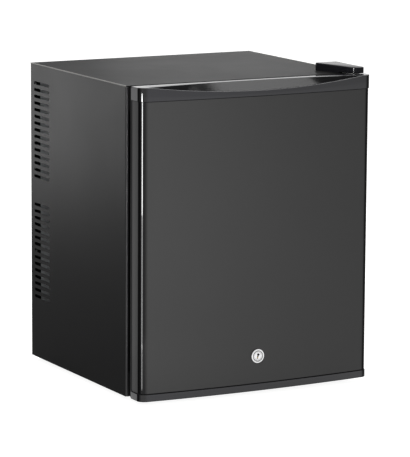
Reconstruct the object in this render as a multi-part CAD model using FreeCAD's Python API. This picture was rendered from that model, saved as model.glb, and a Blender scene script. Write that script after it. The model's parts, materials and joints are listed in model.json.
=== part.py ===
import FreeCAD, Part
import math
import os

# Small thermoelectric refrigerator with one hinged door, front towards -Y, standing on +Z up.

# Overall sizes, in millimetres
width = 400.0
cabinet_depth = 341.0
cabinet_height = 478.0
foot_height = 8.0
door_depth = 46.0
door_bow = 9.0
door_corner_radius = 12.5
door_rise = 2.0
gasket_gap = 13.0

# General clearances
overrun = 1.0
fit_gap = 0.3
running_gap = 0.05
screw_gap = 0.1
tolerance = 1e-6

# Cabinet sheets
sheet = 0.8
bend_radius = 2.0
lip_bend_radius = 1.6
face_flange = 30.0
rail_flange = 38.0
rear_flange = 17.0
tray_flange = 12.0
bulkhead_flange = 7.0

# Side vents
vent_length = 56.0
vent_height = 5.0
vent_pitch = 10.75
vents_per_group = 15
vent_group_step = 196.4
vent_groups = 2
vent_top_drop = 30.7
vent_rear_inset = 14.0

# Insulated cavity
wall_build = 38.0
floor_build = 40.0
roof_build = 40.0
machine_room = 78.0
rear_insulation = 37.2
foam_corner_radius = 2.0
liner_wall = 2.0
cavity_radius = 12.0
liner_lip = 15.0
rib_depth = 8.0
rib_height = 5.0
rib_front_inset = 66.0
rib_back_inset = 6.0
rib_height_shares = (0.22, 0.46, 0.62)
shelf_rib = 1

# Rear cover
cover_inset = 1.5
cover_corner_radius = 4.0
cover_slot_length = 58.0
cover_slot_height = 5.0
cover_slot_pitch = 10.75
cover_column_step = 74.0
cover_upper_rows = 13
cover_lower_rows = 4
cover_lower_z = 86.0
cover_screw_rows = 4
cover_screw_end_inset = 34.0
screw_head_radius = 3.5
screw_head_height = 2.0
screw_shank_radius = 1.6
screw_length = 8.0
screw_recess_width = 1.0
screw_recess_depth = 1.0

# Feet
foot_radius = 14.0
foot_toe_radius = 12.0
foot_stem_radius = 4.0
foot_stem_length = 5.0
foot_side_inset = 48.0
foot_end_inset = 46.0

# Thermoelectric core
module_size = 40.0
module_thickness = 4.0
block_size = 50.0
block_gap = 1.0
cold_sink_size = 90.0
cold_base_thickness = 5.0
cold_fin_height = 20.0
cold_fin_thickness = 1.2
cold_fin_count = 14
hot_sink_width = 130.0
hot_sink_height = 150.0
hot_base_thickness = 6.0
hot_fin_height = 28.0
hot_fin_thickness = 1.4
hot_fin_count = 20
sink_screw_offset = 33.0
sink_screw_radius = 2.0
sink_screw_head_radius = 3.6
sink_screw_head_height = 3.0
sink_screw_bite = 3.5

# Fans
cold_fan_size = 60.0
cold_fan_depth = 15.0
hot_fan_size = 92.0
hot_fan_depth = 25.0
fan_rim = 2.0
fan_corner_radius = 5.0
fan_spoke = 3.0
fan_spoke_width = 4.0
fan_spoke_count = 3
fan_hub_share = 0.4
fan_tip_gap = 1.0
fan_hub_gap = 1.0
fan_shaft_radius = 1.5
fan_blade_count = 7
fan_blade_thickness = 1.4
fan_blade_pitch = 38.0
fan_bolt_inset = 5.0
fan_bolt_radius = 1.5
fan_bolt_head_radius = 2.8
fan_bolt_head_height = 1.6
fan_bolt_bite = 14.0

# Cover over the cold fan
fan_cover_width = 150.0
fan_cover_height = 130.0
fan_cover_wall = 2.0
fan_cover_slot_inset = 8.0
fan_cover_radius = 8.0
fan_cover_gap = 2.0
grille_slot_height = 4.0
grille_pitch = 8.0
grille_rows = 7
grille_length_shares = (0.5, 0.75, 0.92, 1.0, 0.92, 0.75, 0.5)
grille_length = 56.0

# Control housing under the cavity roof
housing_width = 110.0
housing_depth = 68.0
housing_height = 28.0
housing_front = 62.0
housing_wall = 2.0
housing_radius = 5.0
knob_offset = 28.0
knob_radius = 11.5
knob_disc = 5.0
knob_bar_width = 5.0
knob_bar_rise = 7.0
knob_bar_inset = 1.0
knob_gap = 0.4
spindle_radius = 3.0
spindle_bite = 12.0
thermostat_width = 28.0
thermostat_depth = 22.0
thermostat_height = 20.0
lamp_offset = -26.0
lamp_width = 42.0
lamp_length = 30.0
lamp_wall = 1.5
lamp_rise = 6.0
lamp_board_thickness = 1.6
lamp_chip = 3.0
lamp_chip_height = 1.0
lamp_chip_count = 4

# Electrics in the rear compartment
supply_width = 120.0
supply_depth = 46.0
supply_height = 46.0
supply_x = -50.0
supply_gap = 11.0
supply_radius = 3.0
supply_slot_count = 8
supply_slot_width = 2.0
supply_slot_pitch = 8.0
supply_slot_depth = 1.0
inlet_inset = 88.0
inlet_drop = 32.0
inlet_flange_width = 48.0
inlet_flange_height = 24.0
inlet_body_width = 30.0
inlet_body_height = 22.0
inlet_body_length = 22.0
inlet_mouth_width = 25.0
inlet_mouth_height = 17.0
inlet_mouth_depth = 17.0
inlet_corner_radius = 3.0
pin_width = 2.0
pin_height = 4.0
pin_spread = 7.0
pin_setback = 5.0
pin_tail = 3.0
pin_drop_share = 0.2
lead_radius = 2.2
lead_bend = 18.0
fan_lead_side = 34.0
fan_lead_drop = 30.0

# Lock
lock_height = 56.5
lock_offset = 4.0
lock_proud = 4.0
bezel_radius = 11.0
bezel_chamfer = 0.8
bezel_groove_inner = 7.2
bezel_groove_outer = 8.8
bezel_groove_depth = 0.8
barrel_radius = 9.0
plug_radius = 6.0
plug_setback = 0.4
keyway_width = 1.8
keyway_height = 8.4
keyway_lean = 15.0
keyway_depth = 14.0
lock_nut_radius = 13.0
lock_nut_thickness = 4.0
barrel_tail = 0.5
cam_clear = 3.0
cam_thickness = 2.0
cam_width = 12.0
cam_reach = 28.0
cam_square = 6.0
cam_screw_radius = 4.0
cam_screw_height = 2.0
cam_screw_shank = 1.6
cam_screw_length = 8.0
strike_room = 1.2
strike_wall = 1.2
strike_rim = 1.0
strike_rim_width = 3.0

# Hinges
hinge_inset = 11.0
hinge_setback = 23.0
hinge_pin_radius = 4.0
hinge_pin_bite = 18.0
hinge_pin_head_radius = 6.0
hinge_pin_head = 2.0
bush_wall = 2.5
washer_thickness = 1.0
washer_radius = 8.0
leaf_thickness = 2.0
leaf_gap = 0.6
leaf_nose_radius = 7.5
leaf_width = 28.0
leaf_front_width = 17.0
leaf_inset = 6.0
leaf_reach = 48.0
leaf_screw_inset = 7.0
leaf_screw_row = 26.0
bracket_thickness = 2.5
bracket_width = 23.0
bracket_inset = 1.0
bracket_reach = 42.0
bracket_nose_radius = 9.0
bracket_screw_start = 14.0
bracket_screw_step = 18.0
hinge_cover_height = 12.0
hinge_cover_wall = 1.5
hinge_cover_inset = 0.5
hinge_cover_rear_width = 40.0
hinge_cover_front_width = 18.5
hinge_cover_rear_reach = 56.0
hinge_cover_right_reach = 32.0
hinge_cover_left_reach = 38.0
hinge_cover_rear_radius = 4.0
hinge_cover_nose_radius = 6.0
hinge_cover_edge = 1.0

# Door shell
cap_proud = 1.2
cap_wall = 2.5
cap_edge = 1.0
top_cap_height = 20.7
bottom_cap_height = 11.0
door_flange = 14.0
grip_end_inset = 14.0
grip_sag = 12.3
grip_lip = 4.5
grip_depth = 20.0
grip_floor = 3.0

# Door inside
gasket_inset = 14.0
gasket_width = 14.0
gasket_seam_gap = 2.0
gasket_radius = 6.0
gasket_base = 4.0
gasket_neck = 3.0
gasket_neck_inset = 2.0
gasket_clear = 0.2
magnet_width = 8.0
magnet_thickness = 3.0
magnet_cover = 1.4
dyke_gap = 6.0
dyke_setback = 2.0
dyke_radius = 10.0
ridge_inset = 22.0
ridge_width = 10.0
ridge_depth = 36.0
ridge_low_inset = 34.0
ridge_high_inset = 15.0
ridge_radius = 3.0
lug_reach = 4.0
lug_width = 10.0
lug_height = 6.0
lug_setback = 12.0
lug_rise = 34.0

# Door racks
rack_gap = 0.6
rack_depth = 50.0
rack_floor = 2.5
rack_wall = 2.5
rack_end = 7.0
rack_corner_radius = 14.0
rack_back_height = 40.0
lower_rack_rise = 42.0
lower_rack_height = 56.0
upper_rack_drop = 147.0
upper_rack_height = 46.0
rack_slot_width = 12.0
rack_slot_pitch = 26.0
rack_slot_low = 9.0
rack_slot_high = 11.0

# Wire shelf
shelf_rim_radius = 2.5
shelf_rod_radius = 1.5
shelf_rod_count = 15
shelf_side_gap = 3.5
shelf_front = 68.0
shelf_back_gap = 8.0

# Door sensor
sensor_inset = 80.0
sensor_width = 20.0
sensor_thickness = 5.0
sensor_height = 6.0
sensor_setback = 2.0
sensor_rise = 13.0

# Places worked out from the sizes above
V = FreeCAD.Vector
half_width = width / 2
overall_depth = lock_proud + door_depth + gasket_gap + cabinet_depth + sheet + screw_head_height
face_y = lock_proud + door_depth + gasket_gap - overall_depth / 2
rear_y = face_y + cabinet_depth
door_back_y = face_y - gasket_gap
crown_y = door_back_y - door_depth
base_z = foot_height
roof_z = base_z + cabinet_height
door_low_z = base_z + washer_thickness
door_top_z = roof_z + door_rise
low_seam_z = door_low_z + bottom_cap_height
top_seam_z = door_top_z - top_cap_height
cavity_x = half_width - wall_build
cavity_low_z = base_z + floor_build
cavity_top_z = roof_z - roof_build
bulkhead_y = rear_y - machine_room
cavity_back_y = bulkhead_y - sheet - rear_insulation - liner_wall
cooler_z = cavity_top_z - housing_height - fan_cover_gap - fan_cover_height / 2
lock_x = -lock_offset
lock_z = base_z + lock_height
hinge_x = half_width - hinge_inset
hinge_y = face_y - hinge_setback
bow_radius = (half_width ** 2 + door_bow ** 2) / (2 * door_bow)
bow_centre_y = crown_y + bow_radius
liner_face_y = door_back_y - sheet
dyke_y = face_y - dyke_setback
cam_y = face_y + sheet + liner_wall + cam_clear
inlet_x = half_width - inlet_inset
sensor_x = sensor_inset - half_width
gasket_low_z = low_seam_z + gasket_seam_gap
gasket_high_z = top_seam_z - gasket_seam_gap
dyke_x = half_width - gasket_inset - gasket_width - dyke_gap
dyke_low_z = gasket_low_z + gasket_width + dyke_gap
dyke_high_z = gasket_high_z - gasket_width - dyke_gap
ridge_x = dyke_x - ridge_inset - ridge_width
lower_rack_z = dyke_low_z + lower_rack_rise
upper_rack_z = dyke_high_z - upper_rack_drop
shelf_z = cavity_low_z + rib_height_shares[shelf_rib] * (cavity_top_z - cavity_low_z)


# Basic solids

def span(centre, size):
    """Limits of a stretch about its centre."""
    return (centre - size / 2, centre + size / 2)


def block(x, y, z):
    """Box between three pairs of limits."""
    return Part.makeBox(x[1] - x[0], y[1] - y[0], z[1] - z[0], V(x[0], y[0], z[0]))


def rod(radius, start, end):
    """Cylinder from one centre to another."""
    axis = end - start
    return Part.makeCylinder(radius, axis.Length, start, axis)


def round_rect(u, v, radius):
    """Corners of a rectangle with one radius."""
    return [(u[0], v[0], radius), (u[1], v[0], radius), (u[1], v[1], radius), (u[0], v[1], radius)]


def rounded_wire(corners, place):
    """Closed wire through corners (u, v, radius), put in space by place(u, v)."""
    flat = [V(u, v, 0) for u, v, radius in corners]
    bends = []
    for index, (u, v, radius) in enumerate(corners):
        here = flat[index]
        back = (flat[index - 1] - here).normalize()
        ahead = (flat[(index + 1) % len(flat)] - here).normalize()
        if radius <= 0:
            bends.append((here, None, here))
            continue
        half = back.getAngle(ahead) / 2
        reach = radius / math.tan(half)
        middle = (back + ahead).normalize()
        tip = here + middle * (radius / math.sin(half) - radius)
        bends.append((here + back * reach, tip, here + ahead * reach))
    edges = []
    for index, (first, tip, last) in enumerate(bends):
        start = bends[index - 1][2]
        if (first - start).Length > tolerance:
            edges.append(Part.LineSegment(place(start.x, start.y), place(first.x, first.y)).toShape())
        if tip is not None:
            arc = Part.Arc(place(first.x, first.y), place(tip.x, tip.y), place(last.x, last.y))
            edges.append(arc.toShape())
    return Part.Wire(edges)


def plate_x(corners, x):
    """Outline in y and z, thickened along x."""
    wire = rounded_wire(corners, lambda u, v: V(x[0], u, v))
    return Part.Face(wire).extrude(V(x[1] - x[0], 0, 0))


def plate_y(corners, y):
    """Outline in x and z, thickened along y."""
    wire = rounded_wire(corners, lambda u, v: V(u, y[0], v))
    return Part.Face(wire).extrude(V(0, y[1] - y[0], 0))


def plate_z(corners, z):
    """Outline in x and y, thickened along z."""
    wire = rounded_wire(corners, lambda u, v: V(u, v, z[0]))
    return Part.Face(wire).extrude(V(0, 0, z[1] - z[0]))


def folded_sheet(path, thickness, radius):
    """Corners of a bent sheet whose inside lies to the left of the path."""
    normals = []
    for start, end in zip(path, path[1:]):
        run = V(end[0] - start[0], end[1] - start[1], 0).normalize()
        normals.append(V(-run.y, run.x, 0))
    outer = []
    inner = []
    for index, (u, v) in enumerate(path):
        before = normals[max(index - 1, 0)]
        after = normals[min(index, len(normals) - 1)]
        shift = (before + after) * (thickness / (1 + before.dot(after)))
        bent = 0 < index < len(path) - 1
        outer.append((u, v, radius if bent else 0))
        inner.append((u + shift.x, v + shift.y, radius - thickness if bent else 0))
    return outer + inner[::-1]


def mirrored_x(shape):
    """The same piece on the other side."""
    return shape.mirror(V(0, 0, 0), V(1, 0, 0))


def edges_at(shape, test):
    """Edges whose every vertex meets a test."""
    return [edge for edge in shape.Edges if all(test(vertex.Point) for vertex in edge.Vertexes)]


def pan_screw(seat, axis, head_radius, head_height, shank_radius, length):
    """Cross-recess screw whose head sits on seat and whose shank runs along axis."""
    head = rod(head_radius, V(0, 0, 0), V(0, 0, head_height))
    crown = edges_at(head, lambda p: abs(p.z - head_height) < tolerance and p.x > 0)
    rim = [edge for edge in crown if edge.Closed]
    head = head.makeFillet(head_height / 2, rim)
    top = (head_height - screw_recess_depth, head_height + overrun)
    for long_axis in (0, 1):
        x = span(0, head_radius if long_axis else screw_recess_width)
        y = span(0, screw_recess_width if long_axis else head_radius)
        head = head.cut(block(x, y, top))
    screw = head.fuse(rod(shank_radius, V(0, 0, 0), V(0, 0, -length))).removeSplitter()
    screw.Placement = FreeCAD.Placement(seat, FreeCAD.Rotation(V(0, 0, -1), axis))
    return screw


def lead(points, radius, bend):
    """Round cable along straight runs joined by tangent arcs."""
    edges = []
    start = points[0]
    for before, here, after in zip(points, points[1:], points[2:]):
        back = (before - here).normalize()
        ahead = (after - here).normalize()
        half = back.getAngle(ahead) / 2
        reach = bend / math.tan(half)
        middle = (back + ahead).normalize()
        tip = here + middle * (bend / math.sin(half) - bend)
        edges.append(Part.LineSegment(start, here + back * reach).toShape())
        edges.append(Part.Arc(here + back * reach, tip, here + ahead * reach).toShape())
        start = here + ahead * reach
    edges.append(Part.LineSegment(start, points[-1]).toShape())
    section = Part.Wire(Part.makeCircle(radius, points[0], points[1] - points[0]))
    return Part.Wire(edges).makePipeShell([section], True, False)


# Cabinet sheets

def side_panel():
    """Left side sheet with its front and rear return flanges and its vents."""
    path = [
        (-half_width + rear_flange, rear_y),
        (-half_width, rear_y),
        (-half_width, face_y),
        (-half_width + face_flange, face_y),
    ]
    panel = plate_z(folded_sheet(path, sheet, bend_radius), (base_z, roof_z))
    notch_x = (-half_width + sheet, -half_width + face_flange + overrun)
    front_y = (face_y - overrun, face_y + bend_radius)
    back_y = (rear_y - bend_radius, rear_y + overrun)
    for y, height in ((front_y, rail_flange), (back_y, tray_flange)):
        panel = panel.cut(block(notch_x, y, (base_z - overrun, base_z + height)))
        panel = panel.cut(block(notch_x, y, (roof_z - height, roof_z + overrun)))
    vents = []
    vent_y = (rear_y - vent_rear_inset - vent_length, rear_y - vent_rear_inset)
    vent_x = (-half_width - overrun, -half_width + sheet + overrun)
    for group in range(vent_groups):
        for row in range(vents_per_group):
            z = roof_z - vent_top_drop - group * vent_group_step - row * vent_pitch
            vents.append(plate_x(round_rect(vent_y, span(z, vent_height), vent_height / 2), vent_x))
    for screw_z in cover_screw_heights():
        x = -half_width + rear_flange / 2
        radius = screw_shank_radius + screw_gap
        vents.append(rod(radius, V(x, rear_y - sheet - overrun, screw_z), V(x, rear_y + overrun, screw_z)))
    return panel.cut(Part.makeCompound(vents))


def cover_screw_heights():
    """Heights of the rear cover's screws, evenly spread between the end insets."""
    low = base_z + cover_screw_end_inset
    step = (cabinet_height - 2 * cover_screw_end_inset) / (cover_screw_rows - 1)
    return [low + step * row for row in range(cover_screw_rows)]


def tray():
    """Roof sheet with side lips tucked inside the side panels and a front rail."""
    edge = half_width - sheet
    path = [(edge, roof_z - tray_flange), (edge, roof_z), (-edge, roof_z), (-edge, roof_z - tray_flange)]
    sheet_body = plate_y(folded_sheet(path, sheet, lip_bend_radius), (face_y, rear_y))
    rail = [
        (-edge, roof_z - rail_flange, 0),
        (edge, roof_z - rail_flange, 0),
        (edge, roof_z, lip_bend_radius),
        (-edge, roof_z, lip_bend_radius),
    ]
    return sheet_body.fuse(plate_y(rail, (face_y, face_y + sheet))).removeSplitter()


def leaf_screw_places():
    """Plan places of the screws in the top hinge leaf."""
    left = half_width - leaf_inset - leaf_width + leaf_screw_inset
    right = half_width - leaf_inset - leaf_screw_inset
    rear = face_y + leaf_reach - leaf_screw_inset
    return [(left, rear), (right, rear), (right, rear - leaf_screw_row)]


def bracket_screw_places():
    """Plan places of the screws in the bottom hinge bracket."""
    x = half_width - bracket_inset - bracket_width / 2
    return [(x, face_y + bracket_screw_start + bracket_screw_step * index) for index in range(2)]


def foot_places():
    """Plan places of the four feet."""
    x = half_width - foot_side_inset
    front = face_y + foot_end_inset
    rear = rear_y - foot_end_inset
    return [(-x, front), (x, front), (-x, rear), (x, rear)]


def top_panel():
    """Roof sheet, drilled for the hinge leaf."""
    panel = tray()
    for x, y in leaf_screw_places():
        radius = screw_shank_radius + screw_gap
        panel = panel.cut(rod(radius, V(x, y, roof_z - sheet - overrun), V(x, y, roof_z + overrun)))
    return panel


def base_pan():
    """Floor sheet, drilled for the feet and the hinge bracket."""
    pan = tray().mirror(V(0, 0, (base_z + roof_z) / 2), V(0, 0, 1))
    holes = [(x, y, foot_stem_radius) for x, y in foot_places()]
    holes += [(x, y, screw_shank_radius) for x, y in bracket_screw_places()]
    for x, y, radius in holes:
        start = V(x, y, base_z - overrun)
        pan = pan.cut(rod(radius + screw_gap, start, V(x, y, base_z + sheet + overrun)))
    return pan


def sink_screw_places():
    """Places in x and z of the screws that clamp the two heat sinks."""
    near = -sink_screw_offset
    far = sink_screw_offset
    return [(x, cooler_z + z) for x in (near, far) for z in (near, far)]


def rear_bulkhead():
    """Inner rear sheet that closes the foam and carries the hot sink."""
    edge = half_width - 2 * sheet
    path = [
        (-edge, bulkhead_y + bulkhead_flange),
        (-edge, bulkhead_y - sheet),
        (edge, bulkhead_y - sheet),
        (edge, bulkhead_y + bulkhead_flange),
    ]
    z = (base_z + lip_bend_radius, roof_z - lip_bend_radius)
    wall = plate_z(folded_sheet(path, sheet, lip_bend_radius), z)
    y = (bulkhead_y - sheet - overrun, bulkhead_y + overrun)
    window = block_size + 2 * block_gap
    wall = wall.cut(block(span(0, window), y, span(cooler_z, window)))
    for x, z in sink_screw_places():
        wall = wall.cut(rod(sink_screw_radius + screw_gap, V(x, y[0], z), V(x, y[1], z)))
    return wall


def rear_cover():
    """Vented rear sheet."""
    y = (rear_y, rear_y + sheet)
    through = (rear_y - overrun, rear_y + sheet + overrun)
    x = span(0, width - 2 * cover_inset)
    z = (base_z + cover_inset, roof_z - cover_inset)
    cover = plate_y(round_rect(x, z, cover_corner_radius), y)
    holes = []
    upper_z = cooler_z - cover_slot_pitch * (cover_upper_rows - 1) / 2
    for first_z, rows in ((upper_z, cover_upper_rows), (base_z + cover_lower_z, cover_lower_rows)):
        for row in range(rows):
            slot_z = span(first_z + row * cover_slot_pitch, cover_slot_height)
            for column in (-1, 0, 1):
                slot_x = span(column * cover_column_step, cover_slot_length)
                holes.append(plate_y(round_rect(slot_x, slot_z, cover_slot_height / 2), through))
    inlet_z = base_z + inlet_drop
    mouth_x = span(inlet_x, inlet_body_width)
    mouth_z = span(inlet_z, inlet_body_height)
    holes.append(plate_y(round_rect(mouth_x, mouth_z, inlet_corner_radius), through))
    for side in (-1, 1):
        hole_x = side * (half_width - rear_flange / 2)
        for hole_z in cover_screw_heights():
            start = V(hole_x, through[0], hole_z)
            holes.append(rod(screw_shank_radius + screw_gap, start, V(hole_x, through[1], hole_z)))
    return cover.cut(Part.makeCompound(holes))


def rear_cover_screws():
    """Screws along both edges of the rear cover."""
    screws = []
    for side in (-1, 1):
        for z in cover_screw_heights():
            seat = V(side * (half_width - rear_flange / 2), rear_y + sheet, z)
            screws.append(pan_screw(seat, V(0, -1, 0), screw_head_radius, screw_head_height,
                                    screw_shank_radius, screw_length))
    return Part.makeCompound(screws)


def feet():
    """Rubber feet with stems pressed into the base pan."""
    pads = []
    for x, y in foot_places():
        pad = Part.makeCone(foot_toe_radius, foot_radius, foot_height, V(x, y, 0), V(0, 0, 1))
        stem = rod(foot_stem_radius, V(x, y, base_z), V(x, y, base_z + foot_stem_length))
        pads.append(pad.fuse(stem))
    return Part.makeCompound(pads)


# Insulated cavity

def cavity_body(grow):
    """Room inside the liner, grown outwards by a wall."""
    x = span(0, 2 * (cavity_x + grow))
    z = (cavity_low_z - grow, cavity_top_z + grow)
    corners = round_rect(x, z, cavity_radius + grow)
    return plate_y(corners, (face_y + sheet - overrun, cavity_back_y + grow))


def strike_box(grow, low, high):
    """Room the lock cam swings through, grown by a wall, between two heights."""
    reach = cam_reach + strike_room + grow
    x = (lock_x - reach, lock_x + cam_width / 2 + strike_room + grow)
    y = (cam_y - strike_room - grow, cam_y + cam_thickness + strike_room + grow)
    return block(x, y, (low, high))


strike_low_z = lock_z - cam_reach - strike_room


def inner_liner():
    """White moulded tub with its front lip and shelf ribs."""
    shell = cavity_body(liner_wall)
    lip_x = span(0, 2 * (half_width - face_flange + liner_lip))
    lip_z = (base_z + rail_flange - liner_lip, roof_z - rail_flange + liner_lip)
    lip = plate_y(round_rect(lip_x, lip_z, cavity_radius), (face_y + sheet, face_y + sheet + liner_wall))
    front = block(lip_x, (face_y - 2 * overrun, face_y + sheet), lip_z)
    liner = shell.fuse(lip).cut(front).cut(cavity_body(0))
    ribs = []
    for share in rib_height_shares:
        z = cavity_low_z + share * (cavity_top_z - cavity_low_z)
        y = (face_y + rib_front_inset, cavity_back_y - rib_back_inset)
        corners = [
            (-cavity_x, y[0], 0),
            (-cavity_x + rib_depth, y[0], rib_height),
            (-cavity_x + rib_depth, y[1], rib_height),
            (-cavity_x, y[1], 0),
        ]
        rib = plate_z(corners, (z - rib_height, z))
        ribs += [rib, mirrored_x(rib)]
    liner = liner.multiFuse(ribs).removeSplitter()
    window = span(0, block_size)
    back = (cavity_back_y - overrun, cavity_back_y + liner_wall + overrun)
    liner = liner.cut(block(window, back, span(cooler_z, block_size)))
    for x, z in sink_screw_places():
        liner = liner.cut(rod(sink_screw_radius + screw_gap, V(x, back[0], z), V(x, back[1], z)))
    floor = strike_box(strike_wall, cavity_low_z - liner_wall - overrun, cavity_low_z + overrun)
    return liner.cut(floor)


def lock_strike():
    """Cup in the cavity floor that the lock cam drops into."""
    cup = strike_box(strike_wall, strike_low_z - strike_wall, cavity_low_z)
    rim = strike_box(strike_wall + strike_rim_width, cavity_low_z, cavity_low_z + strike_rim)
    front = face_y + sheet
    trim = block((-half_width, half_width), (front - strike_rim_width - overrun, front), (base_z, roof_z))
    room = strike_box(0, strike_low_z, cavity_low_z + strike_rim + overrun)
    return cup.fuse(rim).cut(room).cut(trim)


def sensor_box(y):
    """Small block near the top of the sealing face."""
    z = roof_z - rail_flange + sensor_rise
    return block(span(sensor_x, sensor_width), y, span(z, sensor_height))


def reed_switch():
    """Sealed switch in the foam behind the top rail."""
    start = face_y + sheet + liner_wall
    return sensor_box((start, start + sensor_thickness))


def cabinet_foam():
    """Foamed-in insulation between the liner and the sheets."""
    edge = half_width - 2 * sheet
    front = face_y + sheet + liner_wall
    outline = round_rect((-edge, edge), (base_z + sheet, roof_z - sheet), foam_corner_radius)
    foam = plate_y(outline, (front, bulkhead_y - sheet))
    foam = foam.cut(cavity_body(liner_wall))
    foam = foam.cut(strike_box(strike_wall, strike_low_z - strike_wall, cavity_low_z))
    foam = foam.cut(reed_switch())
    core = (cavity_back_y, bulkhead_y)
    foam = foam.cut(block(span(0, block_size), core, span(cooler_z, block_size)))
    holes = []
    for x, z in sink_screw_places():
        holes.append(rod(sink_screw_radius + screw_gap, V(x, core[0], z), V(x, core[1], z)))
    for x, y in leaf_screw_places():
        low = roof_z - screw_length - overrun
        holes.append(rod(screw_shank_radius + screw_gap, V(x, y, low), V(x, y, roof_z)))
    for x, y in bracket_screw_places():
        high = base_z + screw_length + overrun
        holes.append(rod(screw_shank_radius + screw_gap, V(x, y, base_z), V(x, y, high)))
    for x, y in foot_places():
        high = base_z + foot_stem_length
        holes.append(rod(foot_stem_radius + screw_gap, V(x, y, base_z), V(x, y, high)))
    return foam.cut(Part.makeCompound(holes))


# Thermoelectric core

def finned_sink(size, base, fin, thickness, count, base_y, direction):
    """Extruded heat sink: base plate on base_y, fins standing out along direction."""
    width_x, height_z = size
    z = span(cooler_z, height_z)
    foot = base_y + direction * base
    tip = foot + direction * fin
    pieces = [block(span(0, width_x), sorted((base_y, foot)), z)]
    step = (width_x - thickness) / (count - 1)
    for index in range(count):
        x = span((thickness - width_x) / 2 + index * step, thickness)
        pieces.append(block(x, sorted((foot, tip)), z))
    return pieces[0].multiFuse(pieces[1:]).removeSplitter()


def cold_sink():
    """Sink inside the cavity, on the back wall."""
    size = (cold_sink_size, cold_sink_size)
    sink = finned_sink(size, cold_base_thickness, cold_fin_height, cold_fin_thickness,
                       cold_fin_count, cavity_back_y, -1)
    for x, z in sink_screw_places():
        end = V(x, cavity_back_y - sink_screw_bite, z)
        sink = sink.cut(rod(sink_screw_radius + screw_gap, end, V(x, cavity_back_y + overrun, z)))
    return sink


def hot_sink():
    """Sink in the rear compartment, on the bulkhead."""
    size = (hot_sink_width, hot_sink_height)
    sink = finned_sink(size, hot_base_thickness, hot_fin_height, hot_fin_thickness,
                       hot_fin_count, bulkhead_y, 1)
    seat = bulkhead_y + hot_base_thickness
    end = seat + hot_fin_height + overrun
    for x, z in sink_screw_places():
        sink = sink.cut(rod(sink_screw_head_radius + fit_gap, V(x, seat, z), V(x, end, z)))
        sink = sink.cut(rod(sink_screw_radius + screw_gap, V(x, bulkhead_y - overrun, z), V(x, seat, z)))
    for x, z in hot_fan_bolt_places():
        sink = sink.cut(rod(fan_bolt_radius + screw_gap, V(x, seat, z), V(x, end, z)))
    return sink


def peltier_module():
    """Thermoelectric module between the block and the hot sink."""
    y = (bulkhead_y - module_thickness, bulkhead_y)
    return block(span(0, module_size), y, span(cooler_z, module_size))


def cold_block():
    """Aluminium spacer that carries the cold through the foam."""
    y = (cavity_back_y, bulkhead_y - module_thickness)
    return block(span(0, block_size), y, span(cooler_z, block_size))


def sink_screws():
    """Screws that clamp the sinks over the module."""
    length = bulkhead_y + hot_base_thickness - cavity_back_y + sink_screw_bite
    screws = []
    for x, z in sink_screw_places():
        seat = V(x, bulkhead_y + hot_base_thickness, z)
        screws.append(pan_screw(seat, V(0, -1, 0), sink_screw_head_radius, sink_screw_head_height,
                                sink_screw_radius, length))
    return Part.makeCompound(screws)


# Fans, with the shaft along y

def hot_fan_bolt_places():
    """Corner bolt places of the hot fan, in x and z."""
    offset = hot_fan_size / 2 - fan_bolt_inset
    return [(x, cooler_z + z) for x in (-offset, offset) for z in (-offset, offset)]


def fan_frame(size, depth, front_y, bolt_places):
    """Square fan housing with a motor boss on spokes at its rear end, drilled at its bolts."""
    bore = size / 2 - fan_rim
    hub = bore * fan_hub_share
    rear = front_y + depth
    outline = round_rect(span(0, size), span(cooler_z, size), fan_corner_radius)
    frame = plate_y(outline, (front_y, rear))
    frame = frame.cut(rod(bore, V(0, front_y - overrun, cooler_z), V(0, rear + overrun, cooler_z)))
    spokes = [rod(hub, V(0, rear - fan_spoke, cooler_z), V(0, rear, cooler_z))]
    for index in range(fan_spoke_count):
        reach = (cooler_z, cooler_z + bore + fan_rim / 2)
        spoke = block(span(0, fan_spoke_width), (rear - fan_spoke, rear), reach)
        spoke.rotate(V(0, 0, cooler_z), V(0, 1, 0), index * 360 / fan_spoke_count)
        spokes.append(spoke)
    frame = frame.multiFuse(spokes)
    holes = [rod(fan_shaft_radius + running_gap, V(0, front_y, cooler_z), V(0, rear + overrun, cooler_z))]
    for x, z in bolt_places:
        radius = fan_bolt_radius + screw_gap
        holes.append(rod(radius, V(x, front_y - overrun, z), V(x, rear + overrun, z)))
    return frame.cut(Part.makeCompound(holes)).removeSplitter()


def fan_rotor(size, depth, front_y):
    """Bladed rotor on its shaft."""
    bore = size / 2 - fan_rim
    hub = bore * fan_hub_share
    tip = bore - fan_tip_gap
    front = front_y + fan_hub_gap
    rear = front_y + depth - fan_spoke - fan_hub_gap
    centre = V(0, 0, cooler_z)
    blades = []
    for index in range(fan_blade_count):
        blade = block((hub / 2, bore), span(0, depth), span(0, fan_blade_thickness))
        blade.rotate(V(0, 0, 0), V(1, 0, 0), fan_blade_pitch)
        blade.translate(V(0, (front + rear) / 2, cooler_z))
        blade.rotate(centre, V(0, 1, 0), index * 360 / fan_blade_count)
        blades.append(blade)
    sweep = rod(tip, V(0, front, cooler_z), V(0, rear, cooler_z))
    blades = [blade.common(sweep) for blade in blades]
    core = rod(hub, V(0, front, cooler_z), V(0, rear, cooler_z))
    shaft = rod(fan_shaft_radius, V(0, rear, cooler_z), V(0, front_y + depth, cooler_z))
    return core.multiFuse(blades + [shaft]).removeSplitter()


cold_fan_y = cavity_back_y - cold_base_thickness - cold_fin_height - cold_fan_depth
hot_fan_y = bulkhead_y + hot_base_thickness + hot_fin_height


def hot_fan_screws():
    """Long screws through the hot fan's corners into its sink."""
    screws = []
    for x, z in hot_fan_bolt_places():
        seat = V(x, hot_fan_y + hot_fan_depth, z)
        screws.append(pan_screw(seat, V(0, -1, 0), fan_bolt_head_radius, fan_bolt_head_height,
                                fan_bolt_radius, hot_fan_depth + fan_bolt_bite))
    return Part.makeCompound(screws)


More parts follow.
